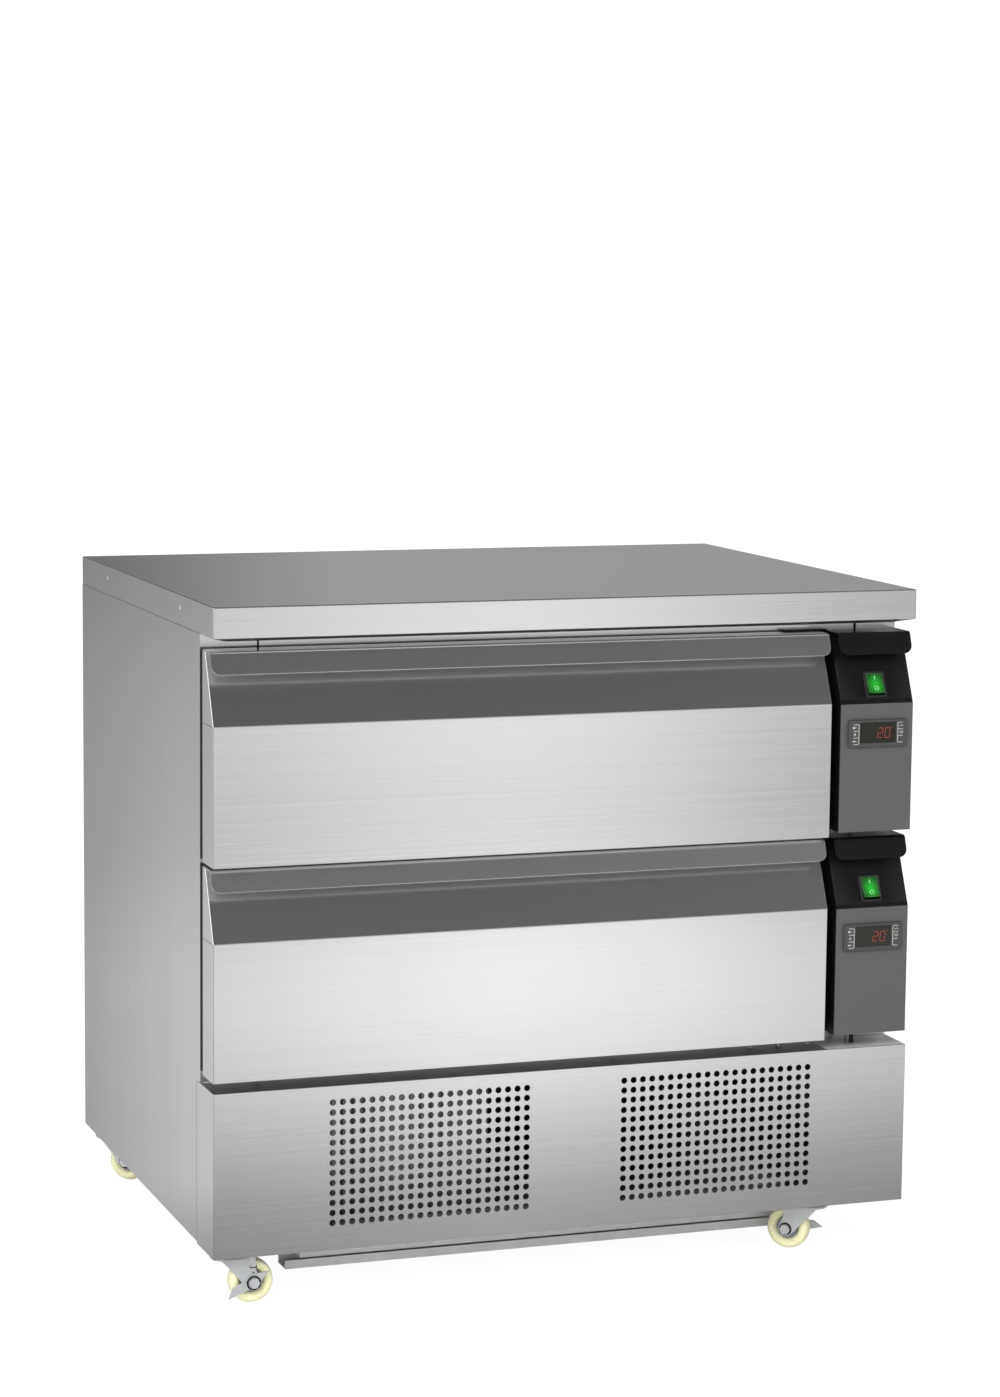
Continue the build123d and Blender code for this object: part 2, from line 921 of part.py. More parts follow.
def fork_cheek():
    # Side plate bent about an upright ridge: a flat strip that holds the axle, and a flange that leans inwards in front
    under = crown_height - crown_sheet
    nose = -fork_ridge
    plan = [
        (trail + fork_eye, fork_outer),
        (fork_ridge, fork_outer),
        (nose, fork_outer - fork_lean),
    ]
    bent = upward(folded(plan, fork_sheet), 0, crown_height - crown_sheet / 2)
    side = Polygon(
        (nose, crown_height),
        (nose, under - 2),
        (fork_ridge + 1, wheel_radius - 4),
        (trail, wheel_radius - fork_eye),
        (trail + fork_eye - 0.5, wheel_radius + 2),
        (2 * fork_ridge, wheel_radius + 17),
        (2 * fork_ridge, crown_height),
        align=None,
    )
    side = extrude(Plane.XZ * side, amount=2 * fork_outer, dir=(0, 1, 0))
    eye = along("y", fork_eye, 2 * fork_outer, (trail, 0, wheel_radius))
    return bent & (side + eye)


def fork():
    under = crown_height - crown_sheet
    cheek = fork_cheek()
    crown = along("z", crown_radius, crown_sheet, (0, 0, under))
    crown += block((0, 2 * fork_ridge), (-fork_outer, fork_outer), (under, crown_height))
    race = along("z", race_radius, caster_top - seat - crown_height, (0, 0, crown_height))
    body = cheek + mirror(cheek, about=Plane.XZ) + crown + race
    body -= along("z", kingpin_radius + running, 20, (0, 0, under - 1))
    body -= along("y", axle_radius + running, 4 * fork_outer, (trail, -2 * fork_outer, wheel_radius))
    return body


def axle_bolt(room):
    # The room under the head holds the brake lever, where there is one
    head_at = -fork_outer - room
    shank = along("y", axle_radius, fork_outer + 6 - head_at, (trail, head_at, wheel_radius))
    head = Pos(trail, head_at, wheel_radius) * Rot(90, 0, 0) * extrude(RegularPolygon(7, 6), amount=4)
    nut = Pos(trail, fork_outer, wheel_radius) * Rot(-90, 0, 0) * extrude(RegularPolygon(7, 6), amount=4.5)
    return shank + head + nut


def wheel():
    r = wheel_radius
    w = wheel_width / 2
    h = hub_length / 2
    b = axle_radius + running
    profile = make_face(
        Polyline(
            (b, -h),
            (hub_radius, -h),
            (hub_radius, -w + 4),
            (r - 9, -w + 4),
            (r - 7, -w),
            (r - 4, -w),
        )
        + ThreePointArc((r - 4, -w), (r, 0), (r - 4, w))
        + Polyline(
            (r - 4, w),
            (r - 7, w),
            (r - 9, w - 4),
            (hub_radius, w - 4),
            (hub_radius, h),
            (b, h),
            (b, -h),
        )
    )
    spun = revolve(Plane.XY * profile, Axis.Y)
    return Pos(trail, 0, wheel_radius) * spun


def brake_lever():
    # Pressed lever on the axle bolt outside one cheek, with its toe bent out and a horn that bites behind
    near = fork_outer + seat
    plan = [
        (lever_horn + 2, -near),
        (-lever_reach + 23, -near),
        (-lever_reach + 10, -near - 3.5),
        (-lever_reach - 1, -near - 10),
    ]
    bent = upward(folded(plan, lever_sheet), -lever_reach, 2 * lever_reach)
    side = Polygon(
        (5, lever_eye),
        (lever_horn, 6.8),
        (lever_horn * 0.7, 3.9),
        (11, -0.5),
        (6, -6),
        (-lever_reach + 13, -6),
        (-lever_reach, -4),
        (-lever_reach + 10, 5),
        (-5, 6),
        align=None,
    )
    side = extrude(Plane.XZ * side, amount=near + 20, dir=(0, -1, 0))
    eye = along("y", lever_eye, near + 20, (0, -near - 20, 0))
    lever = bent & (side + eye)
    return lever - along("y", axle_radius + running, near + 22, (0, -near - 21, 0))


def write(name, *shapes):
    solids = [left_front * solid for shape in shapes for solid in shape.solids()]
    whole = Compound(solids) if len(solids) > 1 else solids[0]
    export_step(whole, f"parts/{name}.step")


os.makedirs("parts", exist_ok=True)

write("worktop", worktop())
write("worktop_board", worktop_board())
write("left_side_panel", side_panel(left_return, False))
write("right_side_panel", side_panel(right_return, True))
write("front_frame", front_frame())
write("cabinet_insulation", cabinet_insulation())
write("insulation_deck", insulation_deck())
write("back_panel", back_panel())
write("cable_gland", cable_gland())
write("plinth_panel", plinth_panel())
write("plinth_screws", *plinth_screws())
write("base_frame", base_frame())
write("machine_pan", machine_pan())
write("chassis_beams", *chassis_beams())
write("cabinet_slides", *cabinet_slides())
write("control_face_plates", *face_plates())
write("switch_bezels", *switch_bezels())
write("caster_plates", *caster_plates())

# The left unit breathes in through the plinth and the right one through the back
pan_back = pan_front + pan_length - pan_sheet
shroud_side = condenser_width - 20
fan_level = pan_floor + condenser_height / 2
left_unit = Pos(unit_inset, condenser_front, 0)
right_unit = Pos(width - unit_inset, pan_back - 4, 0) * Rot(0, 0, 180)
shroud_behind = condenser_thickness + 2
shrouds = []
for side, unit in (("left", left_unit), ("right", right_unit)):
    write(f"{side}_condenser", unit * Pos(0, 0, pan_floor) * condenser())
    shroud = fan_shroud(fan_radius, shroud_side, condenser_height, 22)
    shrouds.append(unit * Pos(0, shroud_behind, fan_level) * shroud)
    blades = fan_blades(fan_radius, fan_depth - 2, 5)
    write(f"{side}_condenser_fan", unit * Pos(0, shroud_behind + 2, fan_level) * blades)
    can = Pos(0, compressor_behind - condenser_front, pan_floor) * compressor()
    write(f"{side}_compressor", unit * can)
write("condenser_fan_shrouds", *shrouds)

covers = []
for level, bottom in (("lower", lower_bottom), ("upper", upper_bottom)):
    write(f"{level}_bay_liner", bay_liner(bottom))
    write(f"{level}_evaporator", evaporator(bottom))
    covers.append(evaporator_cover(bottom))
    fan_at = Pos(bay_right + skin + 2, evaporator_fan_behind, bay_levels(bottom)[0] + evaporator_fan_rise)
    blades = fan_blades(evaporator_fan_radius, evaporator_fan_depth, 5)
    write(f"{level}_evaporator_fan", fan_at * Rot(0, 0, -90) * blades)
    write(f"{level}_middle_slides", *middle_slides(bottom))
    write(f"{level}_drawer_front", drawer_front(bottom))
    write(f"{level}_drawer_inner_panel", drawer_inner_panel(bottom))
    write(f"{level}_drawer_gasket", drawer_gasket(bottom))
    write(f"{level}_drawer_box", drawer_box(bottom))
    write(f"{level}_drawer_slides", *drawer_slides(bottom))
    write(f"{level}_control_housing", control_housing(bottom))
    write(f"{level}_thermostat", thermostat(bottom))
    write(f"{level}_rocker", rocker(bottom))
write("evaporator_covers", *covers)

for corner, spot in caster_spots().items():
    room = lever_sheet + 2 * seat if corner.startswith("front") else 0.0
    write(f"{corner}_fork", set_caster(fork(), spot), set_caster(axle_bolt(room), spot))
    write(f"{corner}_wheel", set_caster(wheel(), spot))
axle_at = Pos(trail, 0, wheel_radius)
write("front_left_brake", set_caster(axle_at * Rot(0, -lever_locked, 0) * brake_lever(), caster_spots()["front_left"]))
write("front_right_brake", set_caster(axle_at * brake_lever(), caster_spots()["front_right"]))
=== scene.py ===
# Looks of the refrigerated drawer counter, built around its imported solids.
# Lengths are in millimetres from the left front corner of the worktop at floor level, and become metres in place().
import math
from fnmatch import fnmatch

import bmesh
import bpy
from mathutils import Matrix, Vector


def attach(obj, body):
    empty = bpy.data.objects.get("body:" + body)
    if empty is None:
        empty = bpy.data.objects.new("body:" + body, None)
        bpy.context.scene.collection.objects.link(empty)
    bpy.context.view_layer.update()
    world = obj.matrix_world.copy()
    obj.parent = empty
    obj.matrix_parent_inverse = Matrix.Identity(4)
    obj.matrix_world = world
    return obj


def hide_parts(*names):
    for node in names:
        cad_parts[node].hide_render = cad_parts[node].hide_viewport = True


shift, quarter = Matrix.Translation, math.radians(90)
upright = (quarter, 0, 0)  # turns a disc's axis to Y

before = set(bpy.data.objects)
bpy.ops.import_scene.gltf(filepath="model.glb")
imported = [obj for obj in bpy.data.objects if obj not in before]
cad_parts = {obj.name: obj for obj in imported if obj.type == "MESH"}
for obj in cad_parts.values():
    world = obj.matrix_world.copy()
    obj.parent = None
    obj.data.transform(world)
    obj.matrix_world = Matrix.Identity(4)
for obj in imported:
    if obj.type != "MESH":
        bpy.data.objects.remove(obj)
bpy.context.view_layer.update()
levels = {"upper": 552.5, "lower": 287.0}  # undersides of the drawer fronts
origin = (465.0, 348.0)  # the frame's origin, below the middle of the cabinet
print("frame loaded")


# Places and selections


def place(x, y, z):
    return Vector((x - origin[0], y - origin[1], z)) / 1000


def deselectAll():
    bpy.ops.object.select_all(action="DESELECT")


def only(piece):
    deselectAll()
    piece.select_set(True)
    bpy.context.view_layer.objects.active = piece


def settle(piece):
    # The object goes to the origin and its place into the mesh
    only(piece)
    bpy.ops.object.transform_apply(location=True, rotation=True, scale=True)
    return piece


def edit(piece, kind, test):
    # Opens edit mode with only the parts selected that pass the test on their middle and normal
    only(piece)
    bpy.ops.object.mode_set(mode="EDIT")
    bpy.ops.mesh.select_mode(type=kind)
    bpy.ops.mesh.select_all(action="DESELECT")
    form = bmesh.from_edit_mesh(piece.data)
    for part in {"FACE": form.faces, "EDGE": form.edges, "VERT": form.verts}[kind]:
        if kind == "FACE":
            middle, normal = part.calc_center_median(), part.normal
        elif kind == "EDGE":
            middle = (part.verts[0].co + part.verts[1].co) / 2
            normal = (part.verts[1].co - part.verts[0].co).normalized()
        else:
            middle, normal = part.co, part.normal
        part.select_set(bool(test(middle, normal)))
    form.select_flush_mode()
    bmesh.update_edit_mesh(piece.data)


def leave():
    bpy.ops.object.mode_set(mode="OBJECT")


def work(piece, kind, test, action, **settings):
    # One operator of edit mode on the chosen parts
    edit(piece, kind, test)
    action(**settings)
    leave()


def bevelPart(piece, kind, test, width, segments, **settings):
    work(piece, kind, test, bpy.ops.mesh.bevel, offset=width / 1000, segments=segments, **settings)


def movePart(piece, kind, test, *way):
    work(piece, kind, test, bpy.ops.transform.translate, value=Vector(way) / 1000)


def dropFaces(piece, test):
    work(piece, "FACE", test, bpy.ops.mesh.delete, type="FACE")


def near(a, b, slack=0.0002):
    return abs(a - b) < slack


def everything(middle, normal):
    return True


def splitAt(piece, spot, normal, test=everything, **settings):
    # Cuts a loop of edges into the chosen faces where a plane crosses them
    work(piece, "FACE", test, bpy.ops.mesh.bisect, plane_co=spot, plane_no=normal, **settings)


def pointing(axis, sign=0):
    # A test for faces and edges that point along an axis, either way or one way
    def test(middle, normal):
        value = getattr(normal, axis)
        return (abs(value) if sign == 0 else sign * value) > 0.9

    return test


def modify(piece, kind, **settings):
    only(piece)
    change = piece.modifiers.new(kind.lower(), kind)
    for key, value in settings.items():
        setattr(change, key, value)
    bpy.ops.object.modifier_apply(modifier=change.name)


def roundEdges(piece, width, segments=2, angle=30):
    modify(piece, "BEVEL", width=width / 1000, segments=segments, limit_method="ANGLE", angle_limit=math.radians(angle))


def thicken(piece, sheet):
    modify(piece, "SOLIDIFY", thickness=sheet / 1000, offset=-1, use_even_offset=True)


def cutAway(piece, cutter):
    modify(piece, "BOOLEAN", operation="DIFFERENCE", solver="EXACT", object=cutter)
    bpy.data.objects.remove(cutter)


def fuse(piece, other):
    modify(piece, "BOOLEAN", operation="UNION", solver="EXACT", object=other)
    bpy.data.objects.remove(other)


def smooth(piece, angle=35):
    # Broad faces keep their own normals, so only the rounded edges shade smoothly
    only(piece)
    bpy.ops.object.shade_smooth_by_angle(angle=math.radians(angle))
    modify(piece, "WEIGHTED_NORMAL", keep_sharp=True, weight=60)


def taken(name):
    # The object just added
    bpy.context.object.name = name
    return settle(bpy.context.object)


def addBlock(name, low, high):
    deselectAll()
    a, b = place(*low), place(*high)
    bpy.ops.mesh.primitive_cube_add(size=1, location=(a + b) / 2, scale=b - a)
    return taken(name)


def addDisc(name, radius, length, middle, turn=(0, 0, 0), sides=32):
    deselectAll()
    bpy.ops.mesh.primitive_cylinder_add(
        vertices=sides, radius=radius / 1000, depth=length / 1000, location=place(*middle), rotation=turn
    )
    return taken(name)


def tracePath(name, path):
    # One vertex is extruded from point to point, and edit mode stays open with all of it selected
    deselectAll()
    bpy.ops.mesh.primitive_plane_add(size=0.001, location=(0, 0, 0))
    piece = bpy.context.object
    piece.name = name
    edit(piece, "VERT", everything)
    bpy.ops.mesh.merge(type="CENTER")
    bpy.ops.mesh.select_all(action="SELECT")
    bpy.ops.transform.translate(value=path[0])
    for before, point in zip(path, path[1:]):
        bpy.ops.mesh.extrude_region_move(TRANSFORM_OT_translate={"value": point - before})
    bpy.ops.mesh.select_all(action="SELECT")
    return piece


def addSection(name, points, left, right):
    # A section in Y and Z, drawn along X
    piece = tracePath(name, [place(left, y, z) for y, z in points])
    bpy.ops.mesh.edge_face_add()
    leave()
    edit(piece, "FACE", everything)
    bpy.ops.mesh.extrude_region_move(TRANSFORM_OT_translate={"value": ((right - left) / 1000, 0, 0)})
    bpy.ops.mesh.select_all(action="SELECT")
    bpy.ops.mesh.normals_make_consistent(inside=False)
    leave()
    return piece


def joined(name, pieces):
    deselectAll()
    for piece in pieces:
        piece.select_set(True)
    bpy.context.view_layer.objects.active = pieces[0]
    bpy.ops.object.join()
    pieces[0].name = name
    return pieces[0]


def copyOf(piece, name, move):
    other = piece.copy()
    other.data = piece.data.copy()
    other.name = name
    bpy.context.collection.objects.link(other)
    other.data.transform(move)
    return other


def finishPiece(piece, material, replaces=(), body="cabinet"):
    piece.data.materials.clear()
    piece.data.materials.append(material)
    for face in piece.data.polygons:
        face.material_index = 0
    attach(piece, body)
    if replaces:
        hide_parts(*replaces)
    return piece


# Materials


def linear(colour):
    parts = [int(colour[i : i + 2], 16) / 255 for i in (1, 3, 5)]
    return tuple(c / 12.92 if c <= 0.04045 else ((c + 0.055) / 1.055) ** 2.4 for c in parts) + (1.0,)


def addNode(tree, kind, settings=None, values=None, links=None):
    node = tree.nodes.new("ShaderNode" + kind)
    for key, value in (settings or {}).items():
        setattr(node, key, value)
    for key, value in (values or {}).items():
        node.inputs[key].default_value = value
    for key, source in (links or {}).items():
        tree.links.new(source, node.inputs[key])
    return node


def startMaterial(name, **values):
    material = bpy.data.materials.new(name)
    material.use_nodes = True
    tree = material.node_tree
    tree.nodes.clear()
    shader = addNode(tree, "BsdfPrincipled", values=values)
    addNode(tree, "OutputMaterial", links={"Surface": shader.outputs[0]})
    return material, tree, shader


def grain(tree, stretch, detail=3.0, rough=0.55):
    # Noise on object coordinates, stretched by repeats per metre along each axis
    where = addNode(tree, "TexCoord")
    turned = addNode(tree, "Mapping", values={"Scale": stretch}, links={"Vector": where.outputs["Object"]})
    values = {"Scale": 1.0, "Detail": detail, "Roughness": rough}
    return addNode(tree, "TexNoise", None, values, {"Vector": turned.outputs[0]}).outputs[0]


def coat(tree, shader, pattern, colours, roughness, relief=None):
    # A pattern moves the surface between two colours and two roughnesses, and relief gives source, strength and height
    middle = {"From Min": 0.3, "From Max": 0.7}
    tone = addNode(tree, "MapRange", None, middle, {"Value": pattern}).outputs[0]
    # Inputs 6 and 7 of a Mix node are its colours, and output 2 is their mix
    ends = {6: linear(colours[0]), 7: linear(colours[1])}
    tint = addNode(tree, "Mix", {"data_type": "RGBA"}, ends, {0: tone})
    tree.links.new(tint.outputs[2], shader.inputs["Base Color"])
    rub = {**middle, "To Min": roughness[0], "To Max": roughness[1]}
    rub = addNode(tree, "MapRange", None, rub, {"Value": pattern})
    tree.links.new(rub.outputs[0], shader.inputs["Roughness"])
    if relief:
        source, strength, height = relief
        bump = addNode(tree, "Bump", None, {"Strength": strength, "Distance": height}, {"Height": source})
        tree.links.new(bump.outputs[0], shader.inputs["Normal"])


def brushedSteel(name, along, dark, light, roughness, metallic=0.96):
    # Stainless sheet ground with a belt: fine parallel scratches that smear reflections across them.
    # Real scratches are about 0.1 mm apart, and they are drawn 1.2 mm apart so that they just show.
    material, tree, shader = startMaterial(name, Metallic=metallic, Roughness=roughness)
    lines, length = 820.0, 1.6
    stretch = {"x": (length, lines, lines), "y": (lines, length, lines), "z": (lines, lines, length)}[along]
    scratches = grain(tree, stretch, rough=0.6)
    cloud = grain(tree, (2.2, 2.2, 2.2), rough=0.5)
    links = {"A": scratches, "B": cloud}
    both = addNode(tree, "Mix", {"data_type": "FLOAT"}, {"Factor": 0.2}, links).outputs[0]
    wear = (roughness - 0.015, roughness + 0.015)
    coat(tree, shader, both, (dark, light), wear, (scratches, 0.012, 0.0001))
    return material


def platedSteel(name, dark, light, roughness, size=260.0, metallic=0.9, bump=0.08, wear=0.06):
    # Zinc-plated or galvanised sheet: bright grey with a faint cloudy spangle about 4 mm wide
    material, tree, shader = startMaterial(name, Metallic=metallic, Roughness=roughness)
    cloud = grain(tree, (size, size, size), rough=0.5)
    relief = (cloud, bump, 0.0003) if bump else None
    coat(tree, shader, cloud, (dark, light), (roughness - wear, roughness + wear), relief)
    return material


def mouldedPlastic(name, dark, light, roughness, size=900.0, bump=0.15, **values):
    # Moulded plastic: one colour with a fine spark-eroded texture about 1 mm across
    material, tree, shader = startMaterial(name, Roughness=roughness, **values)
    texture = grain(tree, (size, size, size))
    coat(tree, shader, texture, (dark, light), (roughness - 0.05, roughness + 0.07), (texture, bump, 0.0002))
    return material


# 1.4301 stainless, belt ground along X on the fronts, the slab and the plinth
groundSteelX = brushedSteel("stainless_ground_along_x", "x", "#E0E0E0", "#E9E9E9", 0.19)
# The same sheet with its grain running up the cabinet sides
groundSteelZ = brushedSteel("stainless_ground_along_z", "z", "#DDDDDD", "#EAEAEA", 0.17)
innerSteel = brushedSteel("stainless_drawer_sheet", "y", "#C8C8C8", "#DCDCDC", 0.35)
# Sheet painted darker: painted shade on the shelf under the drawers, which sees little light, and the dull weld lines
# of the drawer end caps
shadedShelfAndWeldSteel = brushedSteel("stainless_shelf_shade_and_weld", "x", "#8C8C8C", "#9E9E9E", 0.34)
shelfEnd = brushedSteel("stainless_shelf_end", "x", "#DADADA", "#E6E6E6", 0.34, metallic=0.4)
# Inner sheet painted near black: painted shade for the deep joint behind the drawer fronts, where its edge shows
shadedInnerSteel = brushedSteel("stainless_inner_pan_painted_shade", "x", "#2C2C2C", "#363636", 0.5)
# Hot-dip galvanised sheet for what stands inside and below
galvanised = platedSteel("galvanised_sheet", "#8C8F90", "#B4B6B7", 0.42)
# Fresh galvanised sheet of the pan and the beam, even and bright
fresh = {"size": 60.0, "bump": 0.0}
beamSteel = platedSteel("bright_galvanised_beam", "#C6C7C8", "#D2D3D4", 0.42, metallic=0.5, wear=0.02, **fresh)
# Zinc-plated pressings of the casters, slides and screws
zincPlate = platedSteel("zinc_plated_pressing", "#C9CBCD", "#D0D2D4", 0.3, metallic=0.6, wear=0.01, **fresh)
# Thin aluminium fins, dull from handling
finStock = platedSteel("aluminium_fin_stock", "#A9ACAE", "#D3D6D8", 0.38, size=500.0)
linerSheet = platedSteel("embossed_aluminium_liner", "#C2C5C7", "#DDE0E2", 0.33, size=150.0)
# Black ABS housing with an even satin skin
blackAbs = mouldedPlastic("black_abs", "#0D0D0D", "#121212", 0.29, bump=0.02, **{"Specular IOR Level": 0.35})
darkAbs = mouldedPlastic("black_pa_fan", "#101011", "#1A1A1B", 0.6)
# Printed polyester film over the control plates
filmGrey = mouldedPlastic("grey_polyester_film", "#444445", "#4D4D4E", 0.42, bump=0.04)
bezelGrey = mouldedPlastic("grey_pc_bezel", "#343435", "#3C3C3D", 0.42, bump=0.03)
# Cast polyamide wheel, slightly see-through, so light glows a little under its skin
skin = {"Subsurface Weight": 0.25, "Subsurface Radius": (0.004, 0.004, 0.002), "Subsurface Scale": 1.0}
castNylon = mouldedPlastic("cast_nylon", "#D0CEA2", "#DCDBB3", 0.34, size=300.0, bump=0.05, **skin)
hubGrey = mouldedPlastic("grey_hub_plastic", "#6E6E78", "#85858D", 0.4)
sealRubber = mouldedPlastic("grey_seal_pvc", "#58595B", "#6A6B6D", 0.6)
foamFill = mouldedPlastic("pu_foam", "#D9C98F", "#E8DCB0", 0.85, size=1200.0, bump=0.6)
plyBoard = mouldedPlastic("plywood_board", "#54504B", "#625D57", 0.7, size=60.0)
enamelBlack = mouldedPlastic("black_enamel", "#0C0C0D", "#161617", 0.28, size=500.0, bump=0.05)
# Smoked acrylic of the display, near black with a warm cast
smokedAcrylic = mouldedPlastic("smoked_acrylic", "#15140F", "#1C1B15", 0.12, bump=0.0)
printWhite = mouldedPlastic("pale_print", "#A3A39E", "#B4B4AF", 0.5, bump=0.0)
sealBlack = mouldedPlastic("black_epdm_seal", "#0B0B0B", "#121212", 0.7)
# Glass-filled polyamide of the switch frame, a little glossier than the cover round it
switchBlack = mouldedPlastic("black_pa_switch_frame", "#242425", "#2D2D2F", 0.28, bump=0.03)


def light(tree, shader, factor, dark, bright, strength):
    # A surface that glows in the colour it shows
    ends = {6: linear(dark), 7: linear(bright)}
    tint = addNode(tree, "Mix", {"data_type": "RGBA"}, ends, {0: factor})
    for socket in ("Base Color", "Emission Color"):
        tree.links.new(tint.outputs[2], shader.inputs[socket])
    shader.inputs["Emission Strength"].default_value = strength


def lampLens(name, bright, dark, strength, pitch=0.2655, reach=0.0125):
    # Translucent tinted polycarbonate over a neon lamp: it glows in the middle and darkens to its edges.
    # The two lenses stand one above the other at the pitch of the drawers, so one wrapped gradient serves both.
    # The lower one stands 195 mm above the underside of its drawer front.
    material, tree, shader = startMaterial(name, Roughness=0.25)
    middle = place(878.0, 0, levels["lower"] + 195.0)
    spot = addNode(tree, "TexCoord").outputs["Object"]
    for operation, values in (
        ("SUBTRACT", {1: (middle.x, 0, middle.z)}),
        ("WRAP", {1: (0.5, 0.5, pitch / 2), 2: (-0.5, -0.5, -pitch / 2)}),
        ("MULTIPLY", {1: (1.0, 0.0, 0.85)}),
        ("LENGTH", None),
    ):
        node = addNode(tree, "VectorMath", {"operation": operation}, values, {0: spot})
        spot = node.outputs[0]
    fade = {"From Min": 0.15 * reach, "From Max": reach, "To Min": 1.0, "To Max": 0.0}
    tone = addNode(tree, "MapRange", None, fade, {"Value": node.outputs["Value"]})
    light(tree, shader, tone.outputs[0], dark, bright, strength)
    return material


def glowPrintAndHighlight(name, colour, strength):
    # Lit print, and the painted highlight on the rocker's edge: an even colour with a slight unevenness of the ink
    material, tree, shader = startMaterial(name, Roughness=0.4)
    cloud = grain(tree, (900.0, 900.0, 900.0), detail=2.0)
    ink = {"From Min": 0.3, "From Max": 0.7, "To Min": 0.85, "To Max": 1.0}
    tone = addNode(tree, "MapRange", None, ink, {"Value": cloud})
    light(tree, shader, tone.outputs[0], "#000000", colour, strength)
    return material


greenLens = lampLens("green_polycarbonate", "#1D9029", "#123E17", 0.25)
greenPrint = glowPrintAndHighlight("pale_green_print", "#8FD98C", 0.12)
# A painted highlight: a greyish green frame stands for the glint along the rocker lens's rim
paintedEdgeGlint = glowPrintAndHighlight("lens_edge_glint", "#43573F", 0.0)
redSegments = glowPrintAndHighlight("red_segments", "#93382A", 0.2)
print("materials made")

nodeMaterials = {
    groundSteelX: "worktop front_frame plinth_panel *_drawer_front",
    groundSteelZ: "*_side_panel",
    innerSteel: "*_drawer_box evaporator_covers",
    shadedInnerSteel: "*_inner_panel",
    linerSheet: "*_bay_liner",
    galvanised: "back_panel insulation_deck base_frame *_shrouds",
    beamSteel: "chassis_beams machine_pan",
    zincPlate: "plinth_screws caster_plates *_slides *_fork *_brake",
    castNylon: "*_wheel",
    finStock: "*_condenser *_evaporator",
    enamelBlack: "*_compressor",
    darkAbs: "*_fan",
    blackAbs: "*_control_housing switch_bezels cable_gland",
    filmGrey: "control_face_plates",
    bezelGrey: "*_thermostat",
    greenLens: "*_rocker",
    sealRubber: "*_gasket",
    foamFill: "cabinet_insulation",
    plyBoard: "worktop_board",
}
for material, patterns in nodeMaterials.items():
    for name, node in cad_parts.items():
        if any(fnmatch(name, pattern) for pattern in patterns.split()):
            for slot in node.material_slots:
                slot.material = material


# Worktop: a folded slab shell, open below round its board

slab = {"low": (0, 0, 831.5), "high": (930, 700, 870), "sheet": 1.5, "return": 22, "edge": 1.6}
slabScrew = {"radius": 3.0, "head": 0.8, "depths": (158.0, 549.0), "height": 854.0}


def makeSlab():
    piece = addBlock("worktop_slab", slab["low"], slab["high"])
    roundEdges(piece, slab["edge"], 3)
    bottom = place(*slab["low"]).z
    edit(piece, "FACE", lambda mid, way: near(mid.z, bottom) and way.z < -0.9)
    bpy.ops.mesh.inset(thickness=slab["return"] / 1000)
    bpy.ops.mesh.delete(type="FACE")
    leave()
    thicken(piece, slab["sheet"])
    finishPiece(piece, groundSteelX, ["worktop"])
    # Countersunk screws hold the slab from its sides
    for side, x in (("left", 0.0), ("right", 930.0)):
        heads = []
        for y in slabScrew["depths"]:
            spot = (x, y, slabScrew["height"])
            head = addDisc("head", slabScrew["radius"], slabScrew["head"], spot, (0, quarter, 0), 24)
            roundEdges(head, 0.25, 2)
            heads.append(head)
        screws = joined(f"worktop_screws_{side}", heads)
        smooth(screws)
        finishPiece(screws, zincPlate)


makeSlab()
print("worktop made")


# Drawer fronts and control housings share one outline

outline = {"slopeRise": 172.5, "slopeBack": 39.0, "height": 262.0}


def slopedShell(name, bottom, left, right, deep):
    # A block whose front leans back above the bend, with its back open
    piece = addBlock(name, (left, 0, bottom), (right, deep, bottom + outline["height"]))
    bend = place(0, 0, bottom + outline["slopeRise"])
    splitAt(piece, bend, (0, 0, 1))
    top, front, back = place(0, 0, bottom + outline["height"]).z, place(0, 0, 0).y, place(0, deep, 0).y
    movePart(piece, "EDGE", lambda mid, way: near(mid.z, top) and near(mid.y, front), 0, outline["slopeBack"], 0)
    dropFaces(piece, lambda mid, way: near(mid.y, back) and way.y > 0.9)
    return piece


lip = {"reach": 25.0, "drop": 27.0, "flare": 10.0, "sheet": 2.0, "corner": 11.0, "bend": 3.0}


def makeLip(name, bottom, left, right):
    # Flat strip, folded down and out over the slope, its lower corners rounded
    top = bottom + outline["height"]
    nose = outline["slopeBack"] - lip["reach"]
    deselectAll()
    bpy.ops.mesh.primitive_plane_add(size=1, location=place((left + right) / 2, (outline["slopeBack"] + nose) / 2, top))
    piece = bpy.context.object
    piece.name = name
    piece.scale = ((right - left) / 1000, lip["reach"] / 1000, 1)
    settle(piece)
    edge = place(0, nose, 0).y
    edit(piece, "EDGE", lambda mid, way: near(mid.y, edge))
    bpy.ops.mesh.extrude_region_move(TRANSFORM_OT_translate={"value": Vector((0, -lip["flare"], -lip["drop"])) / 1000})
    leave()
    high, foot = place(0, 0, top).z, place(0, 0, top - lip["drop"]).z
    bevelPart(piece, "VERT", lambda mid, way: near(mid.z, foot), lip["corner"], 6, affect="VERTICES")
    bevelPart(piece, "EDGE", lambda mid, way: near(mid.y, edge) and near(mid.z, high), lip["bend"], 4)
    work(piece, "FACE", everything, bpy.ops.mesh.normals_make_consistent, inside=False)
    if sum(face.normal.z for face in piece.data.polygons) < 0:
        work(piece, "FACE", everything, bpy.ops.mesh.flip_normals)
    thicken(piece, lip["sheet"])
    roundEdges(piece, 0.5, 2, 50)
    smooth(piece)
    return piece


drawer = {"width": 814.5, "depth": 49.5, "sheet": 1.2, "edge": 1.0, "seam": 0.5, "groove": 0.6}


